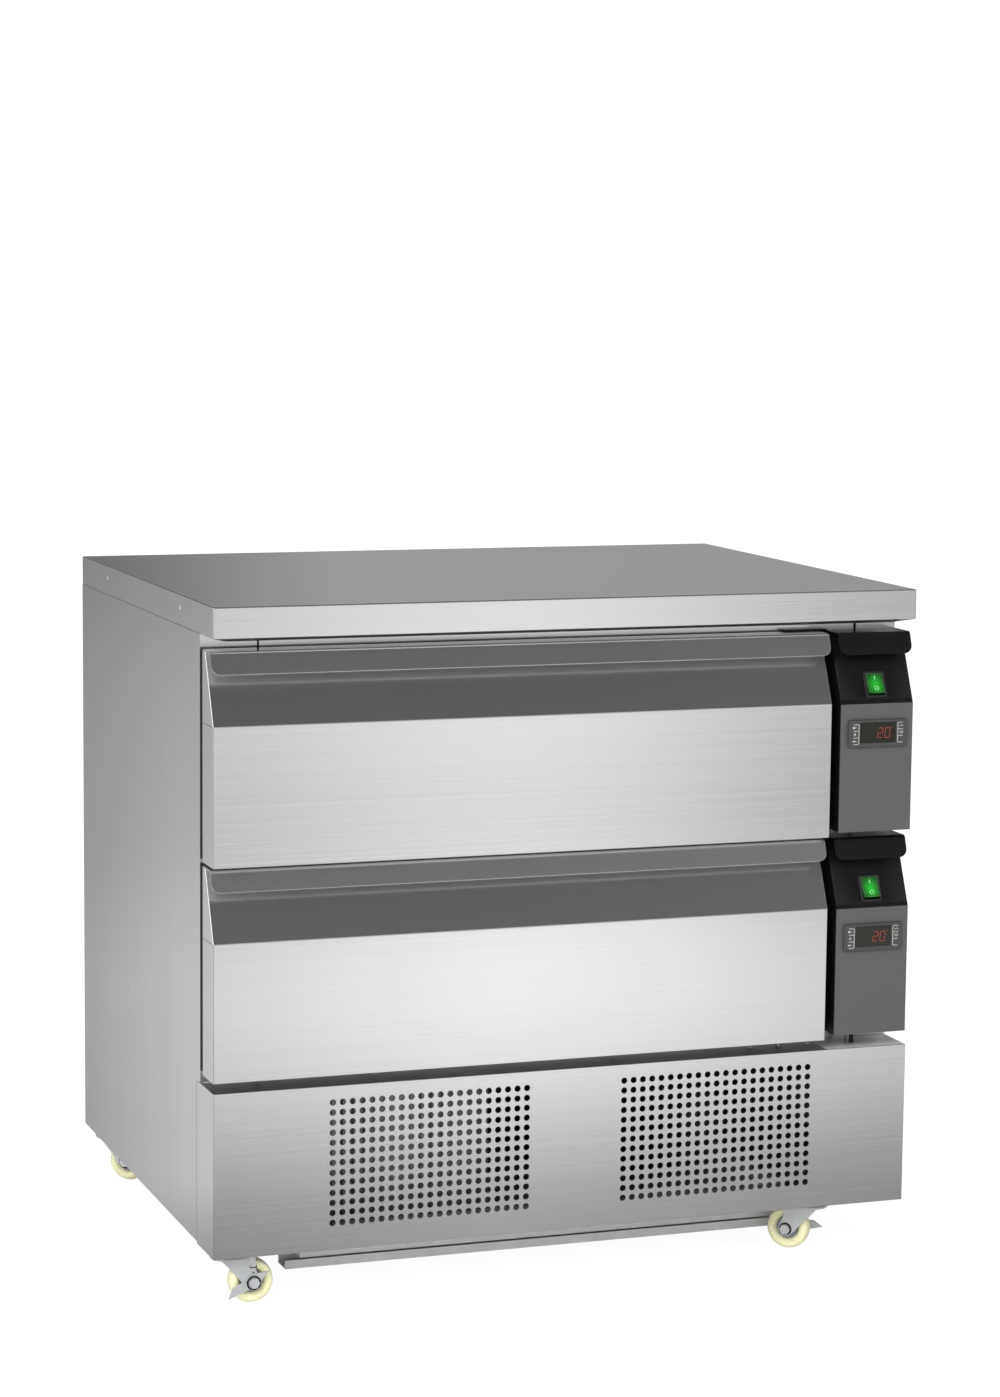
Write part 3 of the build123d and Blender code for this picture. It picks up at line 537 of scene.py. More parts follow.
def makeDrawerFront(level):
    bottom = levels[level]
    piece = slopedShell(f"{level}_front_skin", bottom, 0, drawer["width"], drawer["depth"])
    # The end caps are welded in two parts, and the joint shows as a fine groove at the bend
    bend = place(0, 0, bottom + outline["slopeRise"]).z
    roundEdges(piece, drawer["edge"], 3, 15)
    for x, inwards in ((0, drawer["groove"]), (drawer["width"], -drawer["groove"])):
        end = place(x, 0, 0).x

        def onSeam(middle, normal, slack=0.003):
            return near(middle.x, end) and near(middle.z, bend, slack) and abs(normal.y) > 0.8

        bevelPart(piece, "EDGE", onSeam, drawer["seam"], 2)
        movePart(piece, "EDGE", lambda mid, way: onSeam(mid, way, 0.0002), inwards, 0, 0)
    thicken(piece, drawer["sheet"])
    finishPiece(piece, groundSteelX, [f"{level}_drawer_front"], f"{level}_drawer")
    strip = makeLip(f"{level}_grip_lip", bottom, 0, drawer["width"])
    finishPiece(strip, groundSteelX, body=f"{level}_drawer")
    # The lip's back keeps the dull side of the sheet
    strip.data.materials.append(shelfEnd)
    for face in strip.data.polygons:
        face.material_index = 1 if face.normal.y > 0.3 else 0
    # The weld line of the end caps, ground flush and a little dull
    high, deep = bottom + outline["slopeRise"], drawer["depth"]
    lines = [
        addBlock("line", (left, 1.2, high - 0.45), (right, deep - 0.5, high + 0.45))
        for left, right in ((-0.12, 0.3), (drawer["width"] - 0.3, drawer["width"] + 0.12))
    ]
    welds = joined(f"{level}_cap_welds", lines)
    finishPiece(welds, shadedShelfAndWeldSteel, body=f"{level}_drawer")


for level in levels:
    makeDrawerFront(level)
print("drawer fronts made")


# Control column

column = {"left": 827.5, "right": 928.5, "middle": 878.0, "depth": 62.0, "short": 6.0, "wall": 2.5, "plate": 2.0}
switch = {
    "rise": 24.5, "bezel": (29.0, 34.0, 2.0), "body": (25.4, 30.4, 19.0), "well": (24.0, 28.8, 24.0),
    "mouth": (24.0, 31.4, 4.0), "hole": (26.0, 32.0, 40.0), "lens": (23.0, 28.2), "dip": 1.6, "tilt": 8.0,
}


def onSlope(level):
    # Turns a piece made flat at the origin, with Z outwards and Y up the slope, into its place on the slope
    lean = math.atan2(outline["slopeBack"], outline["height"] - outline["slopeRise"])
    rise = switch["rise"]
    high = levels[level] + outline["slopeRise"] + rise * math.cos(lean)
    spot = place(column["middle"], rise * math.sin(lean), high)
    return shift(spot) @ Matrix.Rotation(quarter - lean, 4, "X")


def flatBlock(name, size, middle):
    # A block in the flat frame of the slope, in millimetres
    deselectAll()
    bpy.ops.mesh.primitive_cube_add(size=1, location=Vector(middle) / 1000, scale=Vector(size) / 1000)
    return taken(name)


def makeHousing(level):
    bottom = levels[level]
    bend, plate = bottom + outline["slopeRise"], column["plate"]
    top, deep = bottom + outline["height"], column["depth"]
    rise = plate * (outline["height"] - outline["slopeRise"]) / outline["slopeBack"]
    right, foot = column["right"], bottom + column["short"]
    section = [(plate, foot), (plate, bend + rise), (outline["slopeBack"], top), (deep, top), (deep, foot)]
    piece = addSection(f"{level}_control_cover", section, column["left"], right)
    back = place(0, deep, 0).y
    dropFaces(piece, lambda mid, way: near(mid.y, back) and abs(way.y) > 0.9)
    fold = place(0, plate, bend + rise)

    def outer(middle, way):
        return not near(middle.y, back) and not (near(middle.y, fold.y) and near(middle.z, fold.z))

    bevelPart(piece, "EDGE", outer, 0.8, 3)
    thicken(piece, column["wall"])
    hole = flatBlock("hole", switch["hole"], (0, 0, 0))
    hole.data.transform(onSlope(level))
    cutAway(piece, hole)
    x, z = column["middle"], bend - thermostat["drop"]
    wide, tall = (size / 2 + 0.3 for size in thermostat["case"][:2])
    cutAway(piece, addBlock("window", (x - wide, -5, z - tall), (x + wide, 20, z + tall)))
    # The foot of the slope stands over the upper edge of the face plate
    foot = [(0.0, bend - 0.9), (0.0, bend), (plate + 0.1, bend + 1.05 * rise), (plate + 0.1, bend - 0.9)]
    foot = addSection("foot", foot, column["left"] + 0.3, right - 0.3)
    piece = joined(f"{level}_control_cover", [piece, foot])
    smooth(piece, 25)
    finishPiece(piece, blackAbs, [f"{level}_control_housing"])
    strip = makeLip(f"{level}_control_lip", bottom, column["left"], column["right"])
    finishPiece(strip, blackAbs)


def makeSwitch(level):
    # Bezel with a raised rim, and a rocker whose upper end is pressed in
    wide, long, high = switch["bezel"]
    body = flatBlock("body", switch["body"], (0, 0, -9.5))
    rim = flatBlock("rim", (wide, long, high), (0, 0, high / 2))
    bevelPart(rim, "EDGE", pointing("z"), 2, 4)
    bevelPart(rim, "FACE", pointing("z", 1), 0.6, 2)
    fuse(rim, body)
    cutAway(rim, flatBlock("well", switch["well"], (0, 0, -4.0)))
    cutAway(rim, flatBlock("mouth", switch["mouth"], (0, 0, 2.0)))
    rim.name = f"{level}_switch_bezel"
    smooth(rim)
    rim.data.transform(onSlope(level))
    finishPiece(rim, switchBlack)

    wide, long = switch["lens"]
    dip = switch["dip"]
    lens = flatBlock(f"{level}_rocker_lens", (wide, long, 12.6), (0, 0, -1.7))
    splitAt(lens, (0, 0, 0), (0, 1, 0))
    movePart(lens, "EDGE", lambda mid, way: near(mid.y, 0) and mid.z > 0 and abs(way.x) > 0.9, 0, 0, -dip)
    work(lens, "VERT", lambda mid, way: mid.z < -0.007, bpy.ops.transform.resize, value=(1, 1 - 6.4 / long, 1))
    roundEdges(lens, 0.7, 3)
    smooth(lens)
    # Marks lie a hair proud on the two halves of the lens, a bar on the pressed half and a ring on the other
    bar = flatBlock("bar", (1.0, 4.6, 0.24), (0, 0, 0))
    deselectAll()
    bpy.ops.mesh.primitive_torus_add(major_radius=0.0027, minor_radius=0.00042, major_segments=32, minor_segments=8)
    ring = settle(bpy.context.object)
    # A thin pale frame over the lens rim is a painted highlight, the glint along its edge
    edges = flatBlock("edges", (wide - 1.0, long - 1.4, 0.3), (0, 0, 0))
    cutAway(edges, flatBlock("inside", (wide - 2.2, long - 2.6, 1.0), (0, 0, 0)))
    splitAt(edges, (0, 0, 0), (0, 1, 0))
    movePart(edges, "VERT", lambda mid, way: near(mid.y, 0), 0, 0, -dip)
    edges.data.transform(shift((0, 0, 0.0046)))
    edges.name = f"{level}_rocker_edge_glint"
    slant = math.atan2(dip, long / 2)
    for mark, y in ((bar, 7.4), (ring, -7.2)):
        rise = 4.6 - dip + abs(y) * math.tan(slant)
        lie = Matrix.Rotation(slant if y > 0 else -slant, 4, "X")
        mark.data.transform(shift((0, y / 1000, rise / 1000)) @ lie)
    marks = joined(f"{level}_rocker_marks", [bar, ring])
    pressed = shift((0, 0, -0.004)) @ Matrix.Rotation(math.radians(-switch["tilt"]), 4, "X")
    pressed = pressed @ shift((0, 0, 0.004))
    for piece in (lens, marks, edges):
        piece.data.transform(onSlope(level) @ pressed)
    smooth(marks)
    finishPiece(lens, greenLens, [f"{level}_rocker"], f"{level}_switch")
    finishPiece(marks, greenPrint, body=f"{level}_switch")
    finishPiece(edges, paintedEdgeGlint, body=f"{level}_switch")
    return rim


thermostat = {
    "rim": (82.0, 35.5, 4.0),
    "case": (71.4, 28.9, 50.0),
    "window": (50.5, 27.0),
    "drop": 39.0,
    "digit": (6.6, 12.4),
    "bar": 0.75,
    "keys": 26.4,
    "line": 0.7,
}
segments = {"2": "abged", "0": "abcdef"}


def makeDigit(text, x, z):
    # Seven-segment figure, built from six-sided bars and slanted a little
    wide, tall = thermostat["digit"]
    spots = {
        "a": (0, tall / 2, "x"), "g": (0, 0, "x"), "d": (0, -tall / 2, "x"),
        "f": (-wide / 2, tall / 4, "z"), "b": (wide / 2, tall / 4, "z"),
        "e": (-wide / 2, -tall / 4, "z"), "c": (wide / 2, -tall / 4, "z"),
    }
    bars = []
    for key in segments[text]:
        dx, dz, way = spots[key]
        long = (wide if way == "x" else tall / 2) - 0.5
        size = (long, 0.3, thermostat["bar"]) if way == "x" else (thermostat["bar"], 0.3, long)
        dx += dz * 0.12
        low = (x + dx - size[0] / 2, -3.35, z + dz - size[2] / 2)
        bars.append(addBlock("bar", low, (low[0] + size[0], low[1] + size[1], low[2] + size[2])))
        roundEdges(bars[-1], 0.12, 1)
    return bars


def makeKeys(name, x, z, wide, way):
    # Printed outline round a column of three keys, a hair proud of the bezel and open towards its end
    front, line = -thermostat["rim"][2], thermostat["line"]
    tall = thermostat["keys"]
    piece = addBlock(name, (x - wide, front - 0.12, z - tall / 2), (x + wide, front + 0.1, z + tall / 2))
    bevelPart(piece, "EDGE", pointing("y"), 2.2, 4)
    inside = (x - wide + line, front - 1, z - tall / 2 + line), (x + wide - line, front + 1, z + tall / 2 - line)
    cut = addBlock("cut", *inside)
    bevelPart(cut, "EDGE", pointing("y"), 1.6, 4)
    cutAway(piece, cut)
    lines = [piece]
    for rise in (-tall / 6, tall / 6):
        low = (x - wide + line / 2, front - 0.12, z + rise - line / 2)
        lines.append(addBlock("line", low, (x + wide - line / 2, front + 0.1, z + rise + line / 2)))
    piece = joined(name, lines)
    # The side towards the end of the bezel stays open
    cut = x - way * wide * 0.25
    edit(piece, "FACE", everything)
    bpy.ops.mesh.bisect(plane_co=place(cut, 0, 0), plane_no=(way, 0, 0), clear_inner=True, use_fill=True)
    leave()
    return piece


def makeChevron(x, z, way):
    # Two short bars that meet in a point
    bars = []
    for side in (-1, 1):
        bar = addBlock("bar", (-1.9, 0, -0.3), (1.9, 0.22, 0.3))
        bar.data.transform(shift(-place(0, 0, 0)))
        bar.data.transform(Matrix.Rotation(math.radians(42 * side * way), 4, "Y"))
        front = -thermostat["rim"][2] - 0.12
        bar.data.transform(shift(place(x + side * 1.3, front, z)))
        bars.append(bar)
    return bars


def makeThermostat(level):
    x, z = column["middle"], levels[level] + outline["slopeRise"] - thermostat["drop"]
    wide, tall, proud = thermostat["rim"]
    rim = addBlock(f"{level}_thermostat_case", (x - wide / 2, -proud, z - tall / 2), (x + wide / 2, 0, z + tall / 2))
    bevelPart(rim, "EDGE", pointing("y"), 3, 5)
    bevelPart(rim, "FACE", pointing("y", -1), 0.9, 3)
    case = thermostat["case"]
    body = addBlock("body", (x - case[0] / 2, -1, z - case[1] / 2), (x + case[0] / 2, case[2], z + case[1] / 2))
    fuse(rim, body)
    window = thermostat["window"]
    low = (x - window[0] / 2, -proud - 1, z - window[1] / 2 + 1.2)
    high = (x + window[0] / 2, -proud + 0.9, z + window[1] / 2 + 1.2)
    cutAway(rim, addBlock("recess", low, high))
    smooth(rim)
    finishPiece(rim, bezelGrey, [f"{level}_thermostat"])
    low, high = (low[0] + 0.2, -proud + 0.35, low[2] + 0.2), (high[0] - 0.2, -proud + 0.95, high[2] - 0.2)
    pane = addBlock(f"{level}_display_window", low, high)
    roundEdges(pane, 0.2, 2)
    finishPiece(pane, smokedAcrylic)
    bars = makeDigit("2", x + 3.4, z + 0.6) + makeDigit("0", x + 13.4, z + 0.6)
    bars.append(addDisc("dot", 0.6, 0.3, (x + 20.4, -3.2, z + 7.6), upright, 12))
    digits = joined(f"{level}_display_digits", bars)
    digits.data.transform(shift((0, -0.00045, 0)))
    finishPiece(digits, redSegments)
    third, front = thermostat["keys"] / 3, -proud
    marks = [makeKeys("left_keys", x - 33.0, z - 0.5, 6.4, 1), makeKeys("right_keys", x + 33.4, z + 0.6, 6.0, -1)]
    marks += makeChevron(x + 32.8, z + 0.6 + third, 1) + makeChevron(x + 32.8, z + 0.2, -1)
    # Generic signs on the keys: a bell, a star and bars
    marks.append(addDisc("dot", 1.5, 0.2, (x - 34.2, front, z - 0.5 + third), upright, 16))
    for turn in (0, 60, 120):
        bar = addBlock("bar", (-2.0, 0, -0.25), (2.0, 0.2, 0.25))
        bar.data.transform(Matrix.Rotation(math.radians(turn), 4, "Y") @ shift(-place(0, 0, 0)))
        bar.data.transform(shift(place(x - 32.6, front - 0.12, z - 0.5)))
        marks.append(bar)
    for left, right, low, high in (
        (30.6, 35.0, 1.5, 2.1), (-32.6, -30.2, third - 0.9, third - 0.2),
        (-35.6, -32.0, -third - 1.3, 0.3 - third), (-31.2, -30.0, -third - 0.8, -third - 0.2),
    ):
        marks.append(addBlock("bar", (x + left, front - 0.12, z + low), (x + right, front + 0.05, z + high)))
    keys = joined(f"{level}_key_outlines", marks)
    finishPiece(keys, printWhite)


for level in levels:
    makeHousing(level)
    makeSwitch(level)
    makeThermostat(level)
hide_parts("switch_bezels")
print("control column made")


# Plinth: folded sheet with two fields of round holes

plinth = {"low": 67.0, "high": 275.0, "return": 79.2, "shelfEnd": 818.0, "shelf": 61.7, "hem": 8.0, "sheet": 1.2}
holes = {"radius": 4.15, "sides": 12, "pitch": 12.7, "columns": 21, "rows": 13, "drop": 21.0, "lefts": (152.0, 537.0)}


def makePlinth():
    piece = addBlock("plinth_cover", (0, 0, plinth["low"]), (930, plinth["return"], plinth["high"]))
    back = place(0, plinth["return"], 0).y
    top, bottom = place(0, 0, plinth["high"]).z, place(0, 0, plinth["low"]).z
    dropFaces(piece, lambda mid, way: near(mid.y, back))
    for depth, level in ((plinth["shelf"], top), (plinth["hem"], bottom)):
        cut = place(0, depth, 0).y
        splitAt(piece, (0, cut, 0), (0, 1, 0), lambda mid, way: near(mid.z, level) and abs(way.z) > 0.9)
        dropFaces(piece, lambda mid, way: near(mid.z, level) and mid.y > cut and abs(way.z) > 0.9)
    roundEdges(piece, 0.8, 3)
    thicken(piece, plinth["sheet"])
    cutters = []
    for left in holes["lefts"]:
        spot = (left, 0, plinth["high"] - holes["drop"])
        punch = addDisc("punch", holes["radius"], 8, spot, upright, holes["sides"])
        step = holes["pitch"] / 1000
        for count, way in ((holes["columns"], (step, 0, 0)), (holes["rows"], (0, 0, -step))):
            spacing = {"use_relative_offset": False, "use_constant_offset": True, "constant_offset_displace": way}
            modify(punch, "ARRAY", count=count, **spacing)
        cutters.append(punch)
    for punch in cutters:
        cutAway(piece, punch)
    finishPiece(piece, groundSteelX, ["plinth_panel"])
    # The shelf is duller than the ground front: under the drawers it is painted darker, a painted shade for the narrow
    # gap above the plinth, and beyond them it keeps a lighter, less metallic sheet
    end, edge = place(plinth["shelfEnd"], 0, 0), place(0, 3.0, 0).y
    splitAt(piece, end, (1, 0, 0), lambda mid, way: abs(way.z) > 0.9 and mid.z > top - 0.004)
    piece.data.materials.append(shadedShelfAndWeldSteel)
    piece.data.materials.append(shelfEnd)
    for face in piece.data.polygons:
        if abs(face.normal.z) > 0.9 and face.center.z > top - 0.004 and face.center.y > edge:
            face.material_index = 2 if face.center.x > end.x else 1


makePlinth()


panHead = {"lefts": (218.0, 538.0, 727.0, 768.0, 808.0), "depth": 42.0, "height": 276.0, "cross": (2.2, 0.5)}


def makeScrews():
    # Pan heads with a cross recess
    heads, deep, high, (long, wide) = [], panHead["depth"], panHead["height"], panHead["cross"]
    for x in panHead["lefts"]:
        head = addDisc("head", 4.0, 2.0, (x, deep, high), sides=24)
        bevelPart(head, "FACE", pointing("z", 1), 0.8, 3)
        for dx, dy in ((long, wide), (wide, long)):
            cutAway(head, addBlock("slot", (x - dx, deep - dy, high + 0.2), (x + dx, deep + dy, high + 2.0)))
        heads.append(head)
    screws = joined("plinth_pan_heads", heads)
    smooth(screws)
    finishPiece(screws, zincPlate, ["plinth_screws"])


makeScrews()


# Thin trim: black seals in the joints beside the frame and the plinth, and the narrow margins of the back sheet,
# which cover the foam inside the corners of the side panels. Each has its left and right ends.
trim = {
    "frame_seam_seal": ((71.9, 74.1), (870.9, 874.1), (61.3, 62.0), (276.5, 831.0)),
    "plinth_joint_seal": ((0.2, 1.2), (928.8, 929.8), (79.0, 80.4), (70.0, 274.6)),
    "back_margin": ((1.4, 18.6), (911.4, 928.6), (688.1, 689.2), (276.5, 831.0)),
}


def makeTrim():
    for name, (leftEnds, rightEnds, depths, heights) in trim.items():
        for side, ends in (("left", leftEnds), ("right", rightEnds)):
            piece = addBlock(f"{name}_{side}", *zip(ends, depths, heights))
            roundEdges(piece, 0.3, 2)
            if name == "back_margin":
                finishPiece(piece, galvanised)
            else:
                finishPiece(piece, sealBlack)


darkSlotStrip = {"plate": ((812.0, 60.4, 288.0), (828.0, 61.9, 816.0)), "tongue": ((768.0, 50.0, 814.9), (828.0, 61.9, 816.6))}


def makeDarkSlotStrip():
    # Black strip that closes the slot beside the drawers and ends in a thin tongue over them
    piece = joined("slot_dark_strip", [addBlock(name, *ends) for name, ends in darkSlotStrip.items()])
    roundEdges(piece, 0.3, 2)
    finishPiece(piece, blackAbs)


buffer = {"radius": 3.6, "height": 17.0, "middle": (866.0, 30.0, 284.0), "waist": 0.6, "curve": 4.0}


def makeBuffer():
    # Waisted rubber buffer that stands between the plinth's shelf and the lower control housing
    piece = addDisc("housing_buffer", buffer["radius"], buffer["height"], buffer["middle"])
    centre = place(*buffer["middle"])
    splitAt(piece, centre, (0, 0, 1))
    edit(piece, "EDGE", lambda mid, way: near(mid.z, centre.z))
    bpy.ops.transform.resize(value=(buffer["waist"], buffer["waist"], 1), center_override=centre)
    bpy.ops.mesh.bevel(offset=buffer["curve"] / 1000, segments=4)
    leave()
    smooth(piece, 50)
    finishPiece(piece, sealBlack)


makeTrim()
makeDarkSlotStrip()
makeBuffer()
print("plinth made")


# Casters, each modelled once about its swivel axis with the wheel trailing along X

casters = {
    "front_left": (32.0, 38.5, 0.0),
    "front_right": (813.0, 38.5, 139.0),
    "back_left": (32.0, 658.0, -42.0),
    "back_right": (813.0, 658.0, 200.0),
}
caster = {"trail": 25.0, "axle": 28.0, "wheel": 28.0, "width": 22.0, "hub": 27.2}


def atCaster(corner):
    x, y, heading = casters[corner]
    return shift(place(x, y, 0)) @ Matrix.Rotation(math.radians(heading), 4, "Z")


def spinProfile(name, points, steps=64):
    # Spins a section round the axle, which lies along Y through the wheel's middle
    centre = Vector((caster["trail"], 0, caster["axle"])) / 1000
    path = [centre + Vector((0, y, r)) / 1000 for r, y in points]
    piece = tracePath(name, path + path[:1])
    bpy.ops.mesh.remove_doubles(threshold=0.00002)
    bpy.ops.mesh.spin(steps=steps, angle=math.radians(360), center=centre, axis=(0, 1, 0))
    bpy.ops.mesh.select_all(action="SELECT")
    bpy.ops.mesh.remove_doubles(threshold=0.00002)
    bpy.ops.mesh.normals_make_consistent(inside=False)
    leave()
    return piece


def makeWheel():
    half, reach = caster["width"] / 2, caster["wheel"]
    # The tread is crowned, and a shallow dish on each side leads down to the hub
    tyre = [(15.6, -half + 4.2), (17.0, -half + 1.6), (19.6, -half + 0.4), (22.0, -half)]
    tyre += [(24.5, -half + 0.7), (26.5, -half + 2.6), (27.6, -half + 5.6), (reach, 0)]
    tyre = tyre + [(r, -y) for r, y in tyre[-2::-1]]
    tyre += [(14.4, half - 5.4), (14.4, -half + 5.4)]
    ring = spinProfile("wheel_tyre", tyre)
    smooth(ring, 50)
    bore, out = 4.05, caster["hub"] / 2
    hub = [(bore, -out), (8.0, -out), (9.4, -out + 0.8), (9.8, -half + 3.4), (14.4, -half + 4.8)]
    hub = hub + [(r, -y) for r, y in hub[::-1]]
    core = spinProfile("wheel_hub", hub, 48)
    smooth(core, 35)
    return ring, core


facing = {
    # Black rings: inner and outer radius, thickness. Painted shade of the slot: place along X, height, width and rise.
    "front": (7.2, 9.2, 0.5),
    "back": (6.4, 8.6, 0.6),
    "slot": ((25.0, 47.0, 9.0, 1.1), (20.9, 48.2, 1.0, 3.2), (29.1, 48.2, 1.0, 3.2)),
    "hole": (1.1, 40.6),
    "strip": 16.1,
}


def makeFacing(front):
    # Black rings under the bolt head and the nut, and patches of painted shade where the fork's strip has its lanced
    # slot and small hole
    marks = []
    for (inner, outer, sheet), y in ((facing["front"], -front - 0.1), (facing["back"], facing["strip"])):
        far = y + math.copysign(sheet, y)
        marks.append(spinProfile("washer", [(inner, y), (outer, y), (outer, far), (inner, far)], 40))
    for x, z, wide, tall in facing["slot"]:
        marks.append(flatBlock("slot", (wide, 0.24, tall), (x, -facing["strip"], z)))
    radius, high = facing["hole"]
    spot = (origin[0] + caster["trail"], origin[1] - facing["strip"], high)
    hole = addDisc("hole", radius, 0.24, spot, upright, 20)
    return joined("fork_facing", marks + [hole])


def makeCaster():
    tyre, core = makeWheel()
    for corner in casters:
        spot = atCaster(corner)
        ringsAndHoleShade = makeFacing(18.6 if "front" in corner else 16.0)
        ringsAndHoleShade.name = f"{corner}_fork_rings_and_hole_shade"
        ringsAndHoleShade.data.transform(spot)
        finishPiece(ringsAndHoleShade, sealBlack, body=f"{corner}_swivel")
        ring = copyOf(tyre, f"{corner}_wheel_tread", spot)
        finishPiece(ring, castNylon, [f"{corner}_wheel"], f"{corner}_roller")
        middle = copyOf(core, f"{corner}_wheel_hub", spot)
        finishPiece(middle, hubGrey, body=f"{corner}_roller")
    bpy.data.objects.remove(tyre)
    bpy.data.objects.remove(core)


makeCaster()
print("casters made")


# Studio: white for the camera. What the metal mirrors is graded apart: bright in front, grey behind, dark above.


def ramp(tree, source, stops):
    # A curve of grey levels over a length or ratio
    low, high = stops[0][0], stops[-1][0]
    where = addNode(tree, "MapRange", None, {"From Min": low, "From Max": high}, {"Value": source})
    node = addNode(tree, "ValToRGB", links={"Fac": where.outputs[0]})
    ends = node.color_ramp.elements
    while len(ends) < len(stops):
        ends.new(0.5)
    for end, (at, level) in zip(ends, stops):
        end.position = (at - low) / (high - low)
    for end, (at, level) in zip(ends, stops):
        end.color = (level, level, level, 1)
    return node.outputs["Color"]


sweep = {
    # Floor brightness by distance in front of the cabinet, and behind it
    "ahead": [
        (-14.0, 0.79), (-8.4, 0.9), (-5.0, 1.04), (-4.3, 0.86), (-3.6, 0.59), (-3.0, 0.65), (-2.6, 1.11), (-2.2, 1.15),
        (-1.7, 1.0), (-1.45, 0.87), (-1.07, 0.58), (-0.8, 0.41), (-0.6, 0.33), (0.0, 0.3),
    ],
    "behind": [(0.0, 0.54), (0.9, 0.57), (1.6, 0.58), (2.9, 0.46), (6.0, 0.4), (8.5, 0.31), (14.0, 0.28)],
    # Brightness by direction, as sideways travel for each metre forwards or backwards
    "across": [
        (-0.1, 0.5), (0.2, 0.56), (0.27, 0.76), (0.3, 0.92), (0.355, 1.18), (0.41, 1.0), (0.46, 0.57), (0.52, 0.4),
        (0.7, 0.36),
    ],
    "acrossNear": [(-0.1, 0.6), (0.2, 0.62), (0.27, 0.82), (0.355, 1.14), (0.42, 1.0), (0.5, 0.79), (0.7, 0.72)],
    "acrossSky": [(-0.6, 0.8), (0.2, 0.88), (0.6, 1.1), (1.2, 1.1)],
    "leftwards": [(-0.6, 0.95), (-0.3, 1.08), (-0.25, 0.62), (-0.22, 0.4), (0.15, 0.4), (0.22, 0.6), (0.27, 1.2)],
    # Where the lines of equal brightness meet, seen from in front and from the left
    "meetFront": (-1.54, 3.71),
    "meetLeft": (0.61, 4.41),
    # Brightness by height of the direction
    "frontRise": [
        (-1.0, 0.9), (0.0, 0.9), (0.12, 0.75), (0.3, 0.36), (0.5, 0.08), (0.56, 0.055), (0.6, 0.058), (0.65, 0.045),
        (1.0, 0.05),
    ],
    "backRise": [(-1.0, 0.34), (0.0, 0.36), (0.16, 0.34), (0.34, 0.16), (1.0, 0.1)],
}


def sidewaysRatio(tree, forward, sideways, turn, meet):
    # How far to the side a place or direction lies for each metre away, turn -1 in front and 1 behind
    aside, far = meet
    along = addNode(tree, "Math", {"operation": "MULTIPLY_ADD"}, {1: turn, 2: far}, {0: forward})
    along = addNode(tree, "Math", {"operation": "MAXIMUM"}, {1: 0.05}, {0: along.outputs[0]})
    across = addNode(tree, "Math", {"operation": "MULTIPLY_ADD"}, {1: -turn, 2: turn * aside}, {0: sideways})
    links = {0: across.outputs[0], 1: along.outputs[0]}
    return addNode(tree, "Math", {"operation": "DIVIDE"}, None, links).outputs[0]


def frontAndBack(tree, forward, front, back):
    # Each side's brightness is its grade along times its grade across, and the two meet above the object
    front = addNode(tree, "Math", {"operation": "MULTIPLY"}, None, dict(enumerate(front)))
    back = addNode(tree, "Math", {"operation": "MULTIPLY"}, None, dict(enumerate(back)))
    turn = addNode(tree, "MapRange", None, {"From Min": -0.25, "From Max": 0.25}, {"Value": forward})
    links = {"Factor": turn.outputs[0], "A": front.outputs[0], "B": back.outputs[0]}
    return addNode(tree, "Mix", {"data_type": "FLOAT"}, None, links).outputs[0]


def makeFloor():
    deselectAll()
    bpy.ops.mesh.primitive_plane_add(size=60, location=(0, 0, 0))
    floor = bpy.context.object
    floor.name = "studio_floor"
    material, tree, shader = startMaterial("white_seamless_paper", Roughness=0.9)
    shader.inputs["Base Color"].default_value = linear("#F4F4F4")
    where = addNode(tree, "TexCoord")
    axes = addNode(tree, "SeparateXYZ", links={"Vector": where.outputs["Object"]})
    x, y = axes.outputs["X"], axes.outputs["Y"]
    ahead = sidewaysRatio(tree, y, x, -1.0, sweep["meetFront"])
    behind = sidewaysRatio(tree, y, x, 1.0, sweep["meetLeft"])
    close = addNode(tree, "MapRange", None, {"From Min": -3.2, "From Max": -1.4}, {"Value": y})
    links = {"Factor": close.outputs[0], "A": ramp(tree, ahead, sweep["across"])}
    links["B"] = ramp(tree, ahead, sweep["acrossNear"])
    across = addNode(tree, "Mix", {"data_type": "FLOAT"}, None, links).outputs[0]
    front = (ramp(tree, y, sweep["ahead"]), across)
    back = (ramp(tree, y, sweep["behind"]), ramp(tree, behind, sweep["leftwards"]))
    level = frontAndBack(tree, y, front, back)
    seen = addNode(tree, "Emission", values={"Strength": 1.08})
    mirrored = addNode(tree, "Emission", links={"Strength": level})
    ray = addNode(tree, "LightPath")
    # The camera sees white paper that keeps a part of the object's shadow near it
    far = addNode(tree, "VectorMath", {"operation": "LENGTH"}, None, {0: where.outputs["Object"]})
    fade = {"From Min": 0.7, "From Max": 1.5, "To Min": 0.88, "To Max": 1.0}
    clear = addNode(tree, "MapRange", None, fade, {"Value": far.outputs["Value"]})
    links = {0: clear.outputs[0], 1: shader.outputs[0], 2: seen.outputs[0]}
    paper = addNode(tree, "MixShader", links=links)
    links = {0: ray.outputs["Is Camera Ray"], 1: shader.outputs[0], 2: paper.outputs[0]}
    first = addNode(tree, "MixShader", links=links)
    links = {0: ray.outputs["Is Glossy Ray"], 1: ray.outputs["Is Transmission Ray"]}
    shiny = addNode(tree, "Math", {"operation": "MAXIMUM"}, None, links)
    links = {0: shiny.outputs[0], 1: first.outputs[0], 2: mirrored.outputs[0]}
    last = addNode(tree, "MixShader", links=links)
    output = next(n for n in tree.nodes if n.type == "OUTPUT_MATERIAL")
    tree.links.new(last.outputs[0], output.inputs["Surface"])
    floor.data.materials.append(material)


makeFloor()


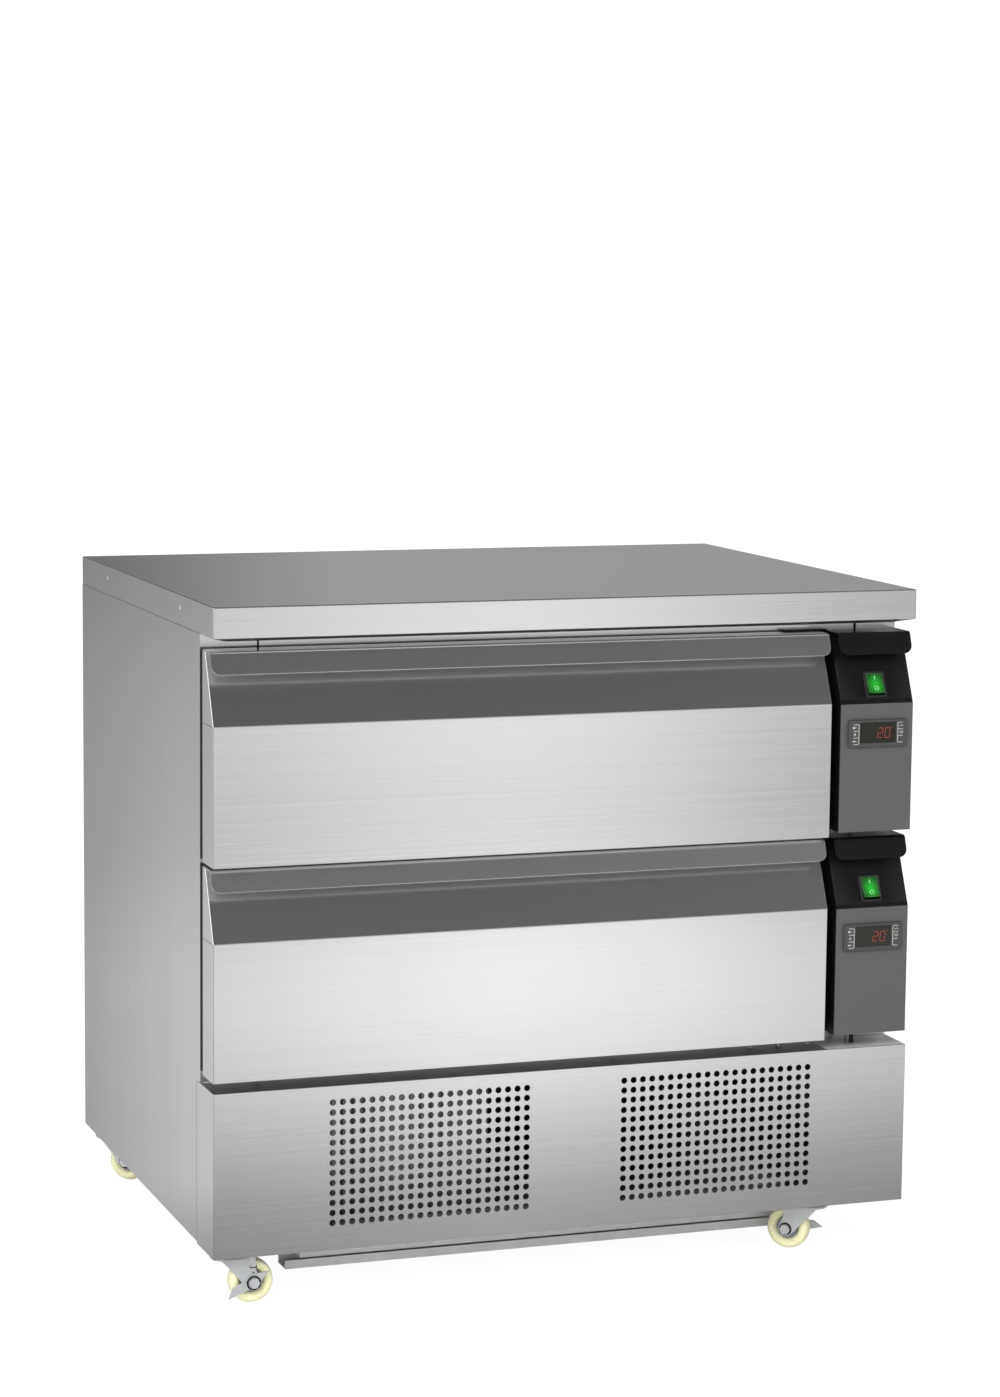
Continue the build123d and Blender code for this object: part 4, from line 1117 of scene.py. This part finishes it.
def makeWorld():
    world = bpy.data.worlds.new("studio_world")
    bpy.context.scene.world = world
    world.use_nodes = True
    tree = world.node_tree
    tree.nodes.clear()
    where = addNode(tree, "TexCoord")
    axes = addNode(tree, "SeparateXYZ", links={"Vector": where.outputs["Generated"]})
    x, y, z = axes.outputs["X"], axes.outputs["Y"], axes.outputs["Z"]
    ahead = sidewaysRatio(tree, y, x, -1.0, (0.0, 0.0))
    behind = sidewaysRatio(tree, y, x, 1.0, (0.0, 0.0))
    front = (ramp(tree, z, sweep["frontRise"]), ramp(tree, ahead, sweep["acrossSky"]))
    back = (ramp(tree, z, sweep["backRise"]), ramp(tree, behind, sweep["leftwards"]))
    level = frontAndBack(tree, y, front, back)
    # A softbox low on the left draws the bright lines along the folded edges
    values, links = {1: Vector((-0.9, -0.25, 0.36)).normalized()}, {0: where.outputs["Generated"]}
    toBox = addNode(tree, "VectorMath", {"operation": "DOT_PRODUCT"}, values, links)
    box = ramp(tree, toBox.outputs["Value"], [(0.8, 0.0), (0.9, 1.6), (1.0, 2.3)])
    level = addNode(tree, "Math", {"operation": "ADD"}, None, {0: level, 1: box}).outputs[0]
    ray = addNode(tree, "LightPath")
    dim = addNode(tree, "Background", values={"Color": (1, 1, 1, 1)}, links={"Strength": level})
    white = addNode(tree, "Background", values={"Color": (1, 1, 1, 1), "Strength": 1.1})
    links = {0: ray.outputs["Is Camera Ray"], 1: dim.outputs[0], 2: white.outputs[0]}
    mix = addNode(tree, "MixShader", links=links)
    addNode(tree, "OutputWorld", links={"Surface": mix.outputs[0]})


makeWorld()


def addLamp(name, spot, aim, size, power, tall=None):
    deselectAll()
    bpy.ops.object.light_add(type="AREA", location=spot)
    lamp = bpy.context.object
    lamp.name = name
    lamp.data.shape = "RECTANGLE"
    lamp.data.size = size
    lamp.data.size_y = tall or size
    lamp.data.energy = power
    lamp.rotation_euler = (Vector(aim) - Vector(spot)).to_track_quat("-Z", "Y").to_euler()
    lamp.visible_glossy = False
    return lamp


addLamp("key_softbox", (-2.2, -3.2, 2.8), (0, 0, 0.4), 2.2, 150)
addLamp("fill_softbox", (3.0, -2.2, 2.0), (0, 0, 0.4), 2.2, 60)
addLamp("top_softbox", (0.0, 0.5, 3.6), (0, 0, 0.8), 2.4, 70)
addLamp("low_softbox", (-0.3, -1.5, 0.16), (0, 0, 0.05), 1.8, 6, 0.26)
addLamp("back_softbox", (-1.5, 3.5, 2.2), (0, 0, 0.4), 2.2, 60)

bpy.context.scene.view_settings.view_transform = "Standard"


# Camera at the height of a standing person, a little to the left

eye = {"spot": (-1.5429, -4.4101, 1.3105), "turn": (82.5666, -0.5716, -19.4772), "lens": 90.906}
deselectAll()
bpy.ops.object.camera_add(location=eye["spot"], rotation=[math.radians(a) for a in eye["turn"]])
camera = bpy.context.object
camera.name = "camera"
camera.data.lens = eye["lens"]
camera.data.sensor_width = 36.0
camera.data.clip_start = 0.05
bpy.context.scene.camera = camera

print("scene done")
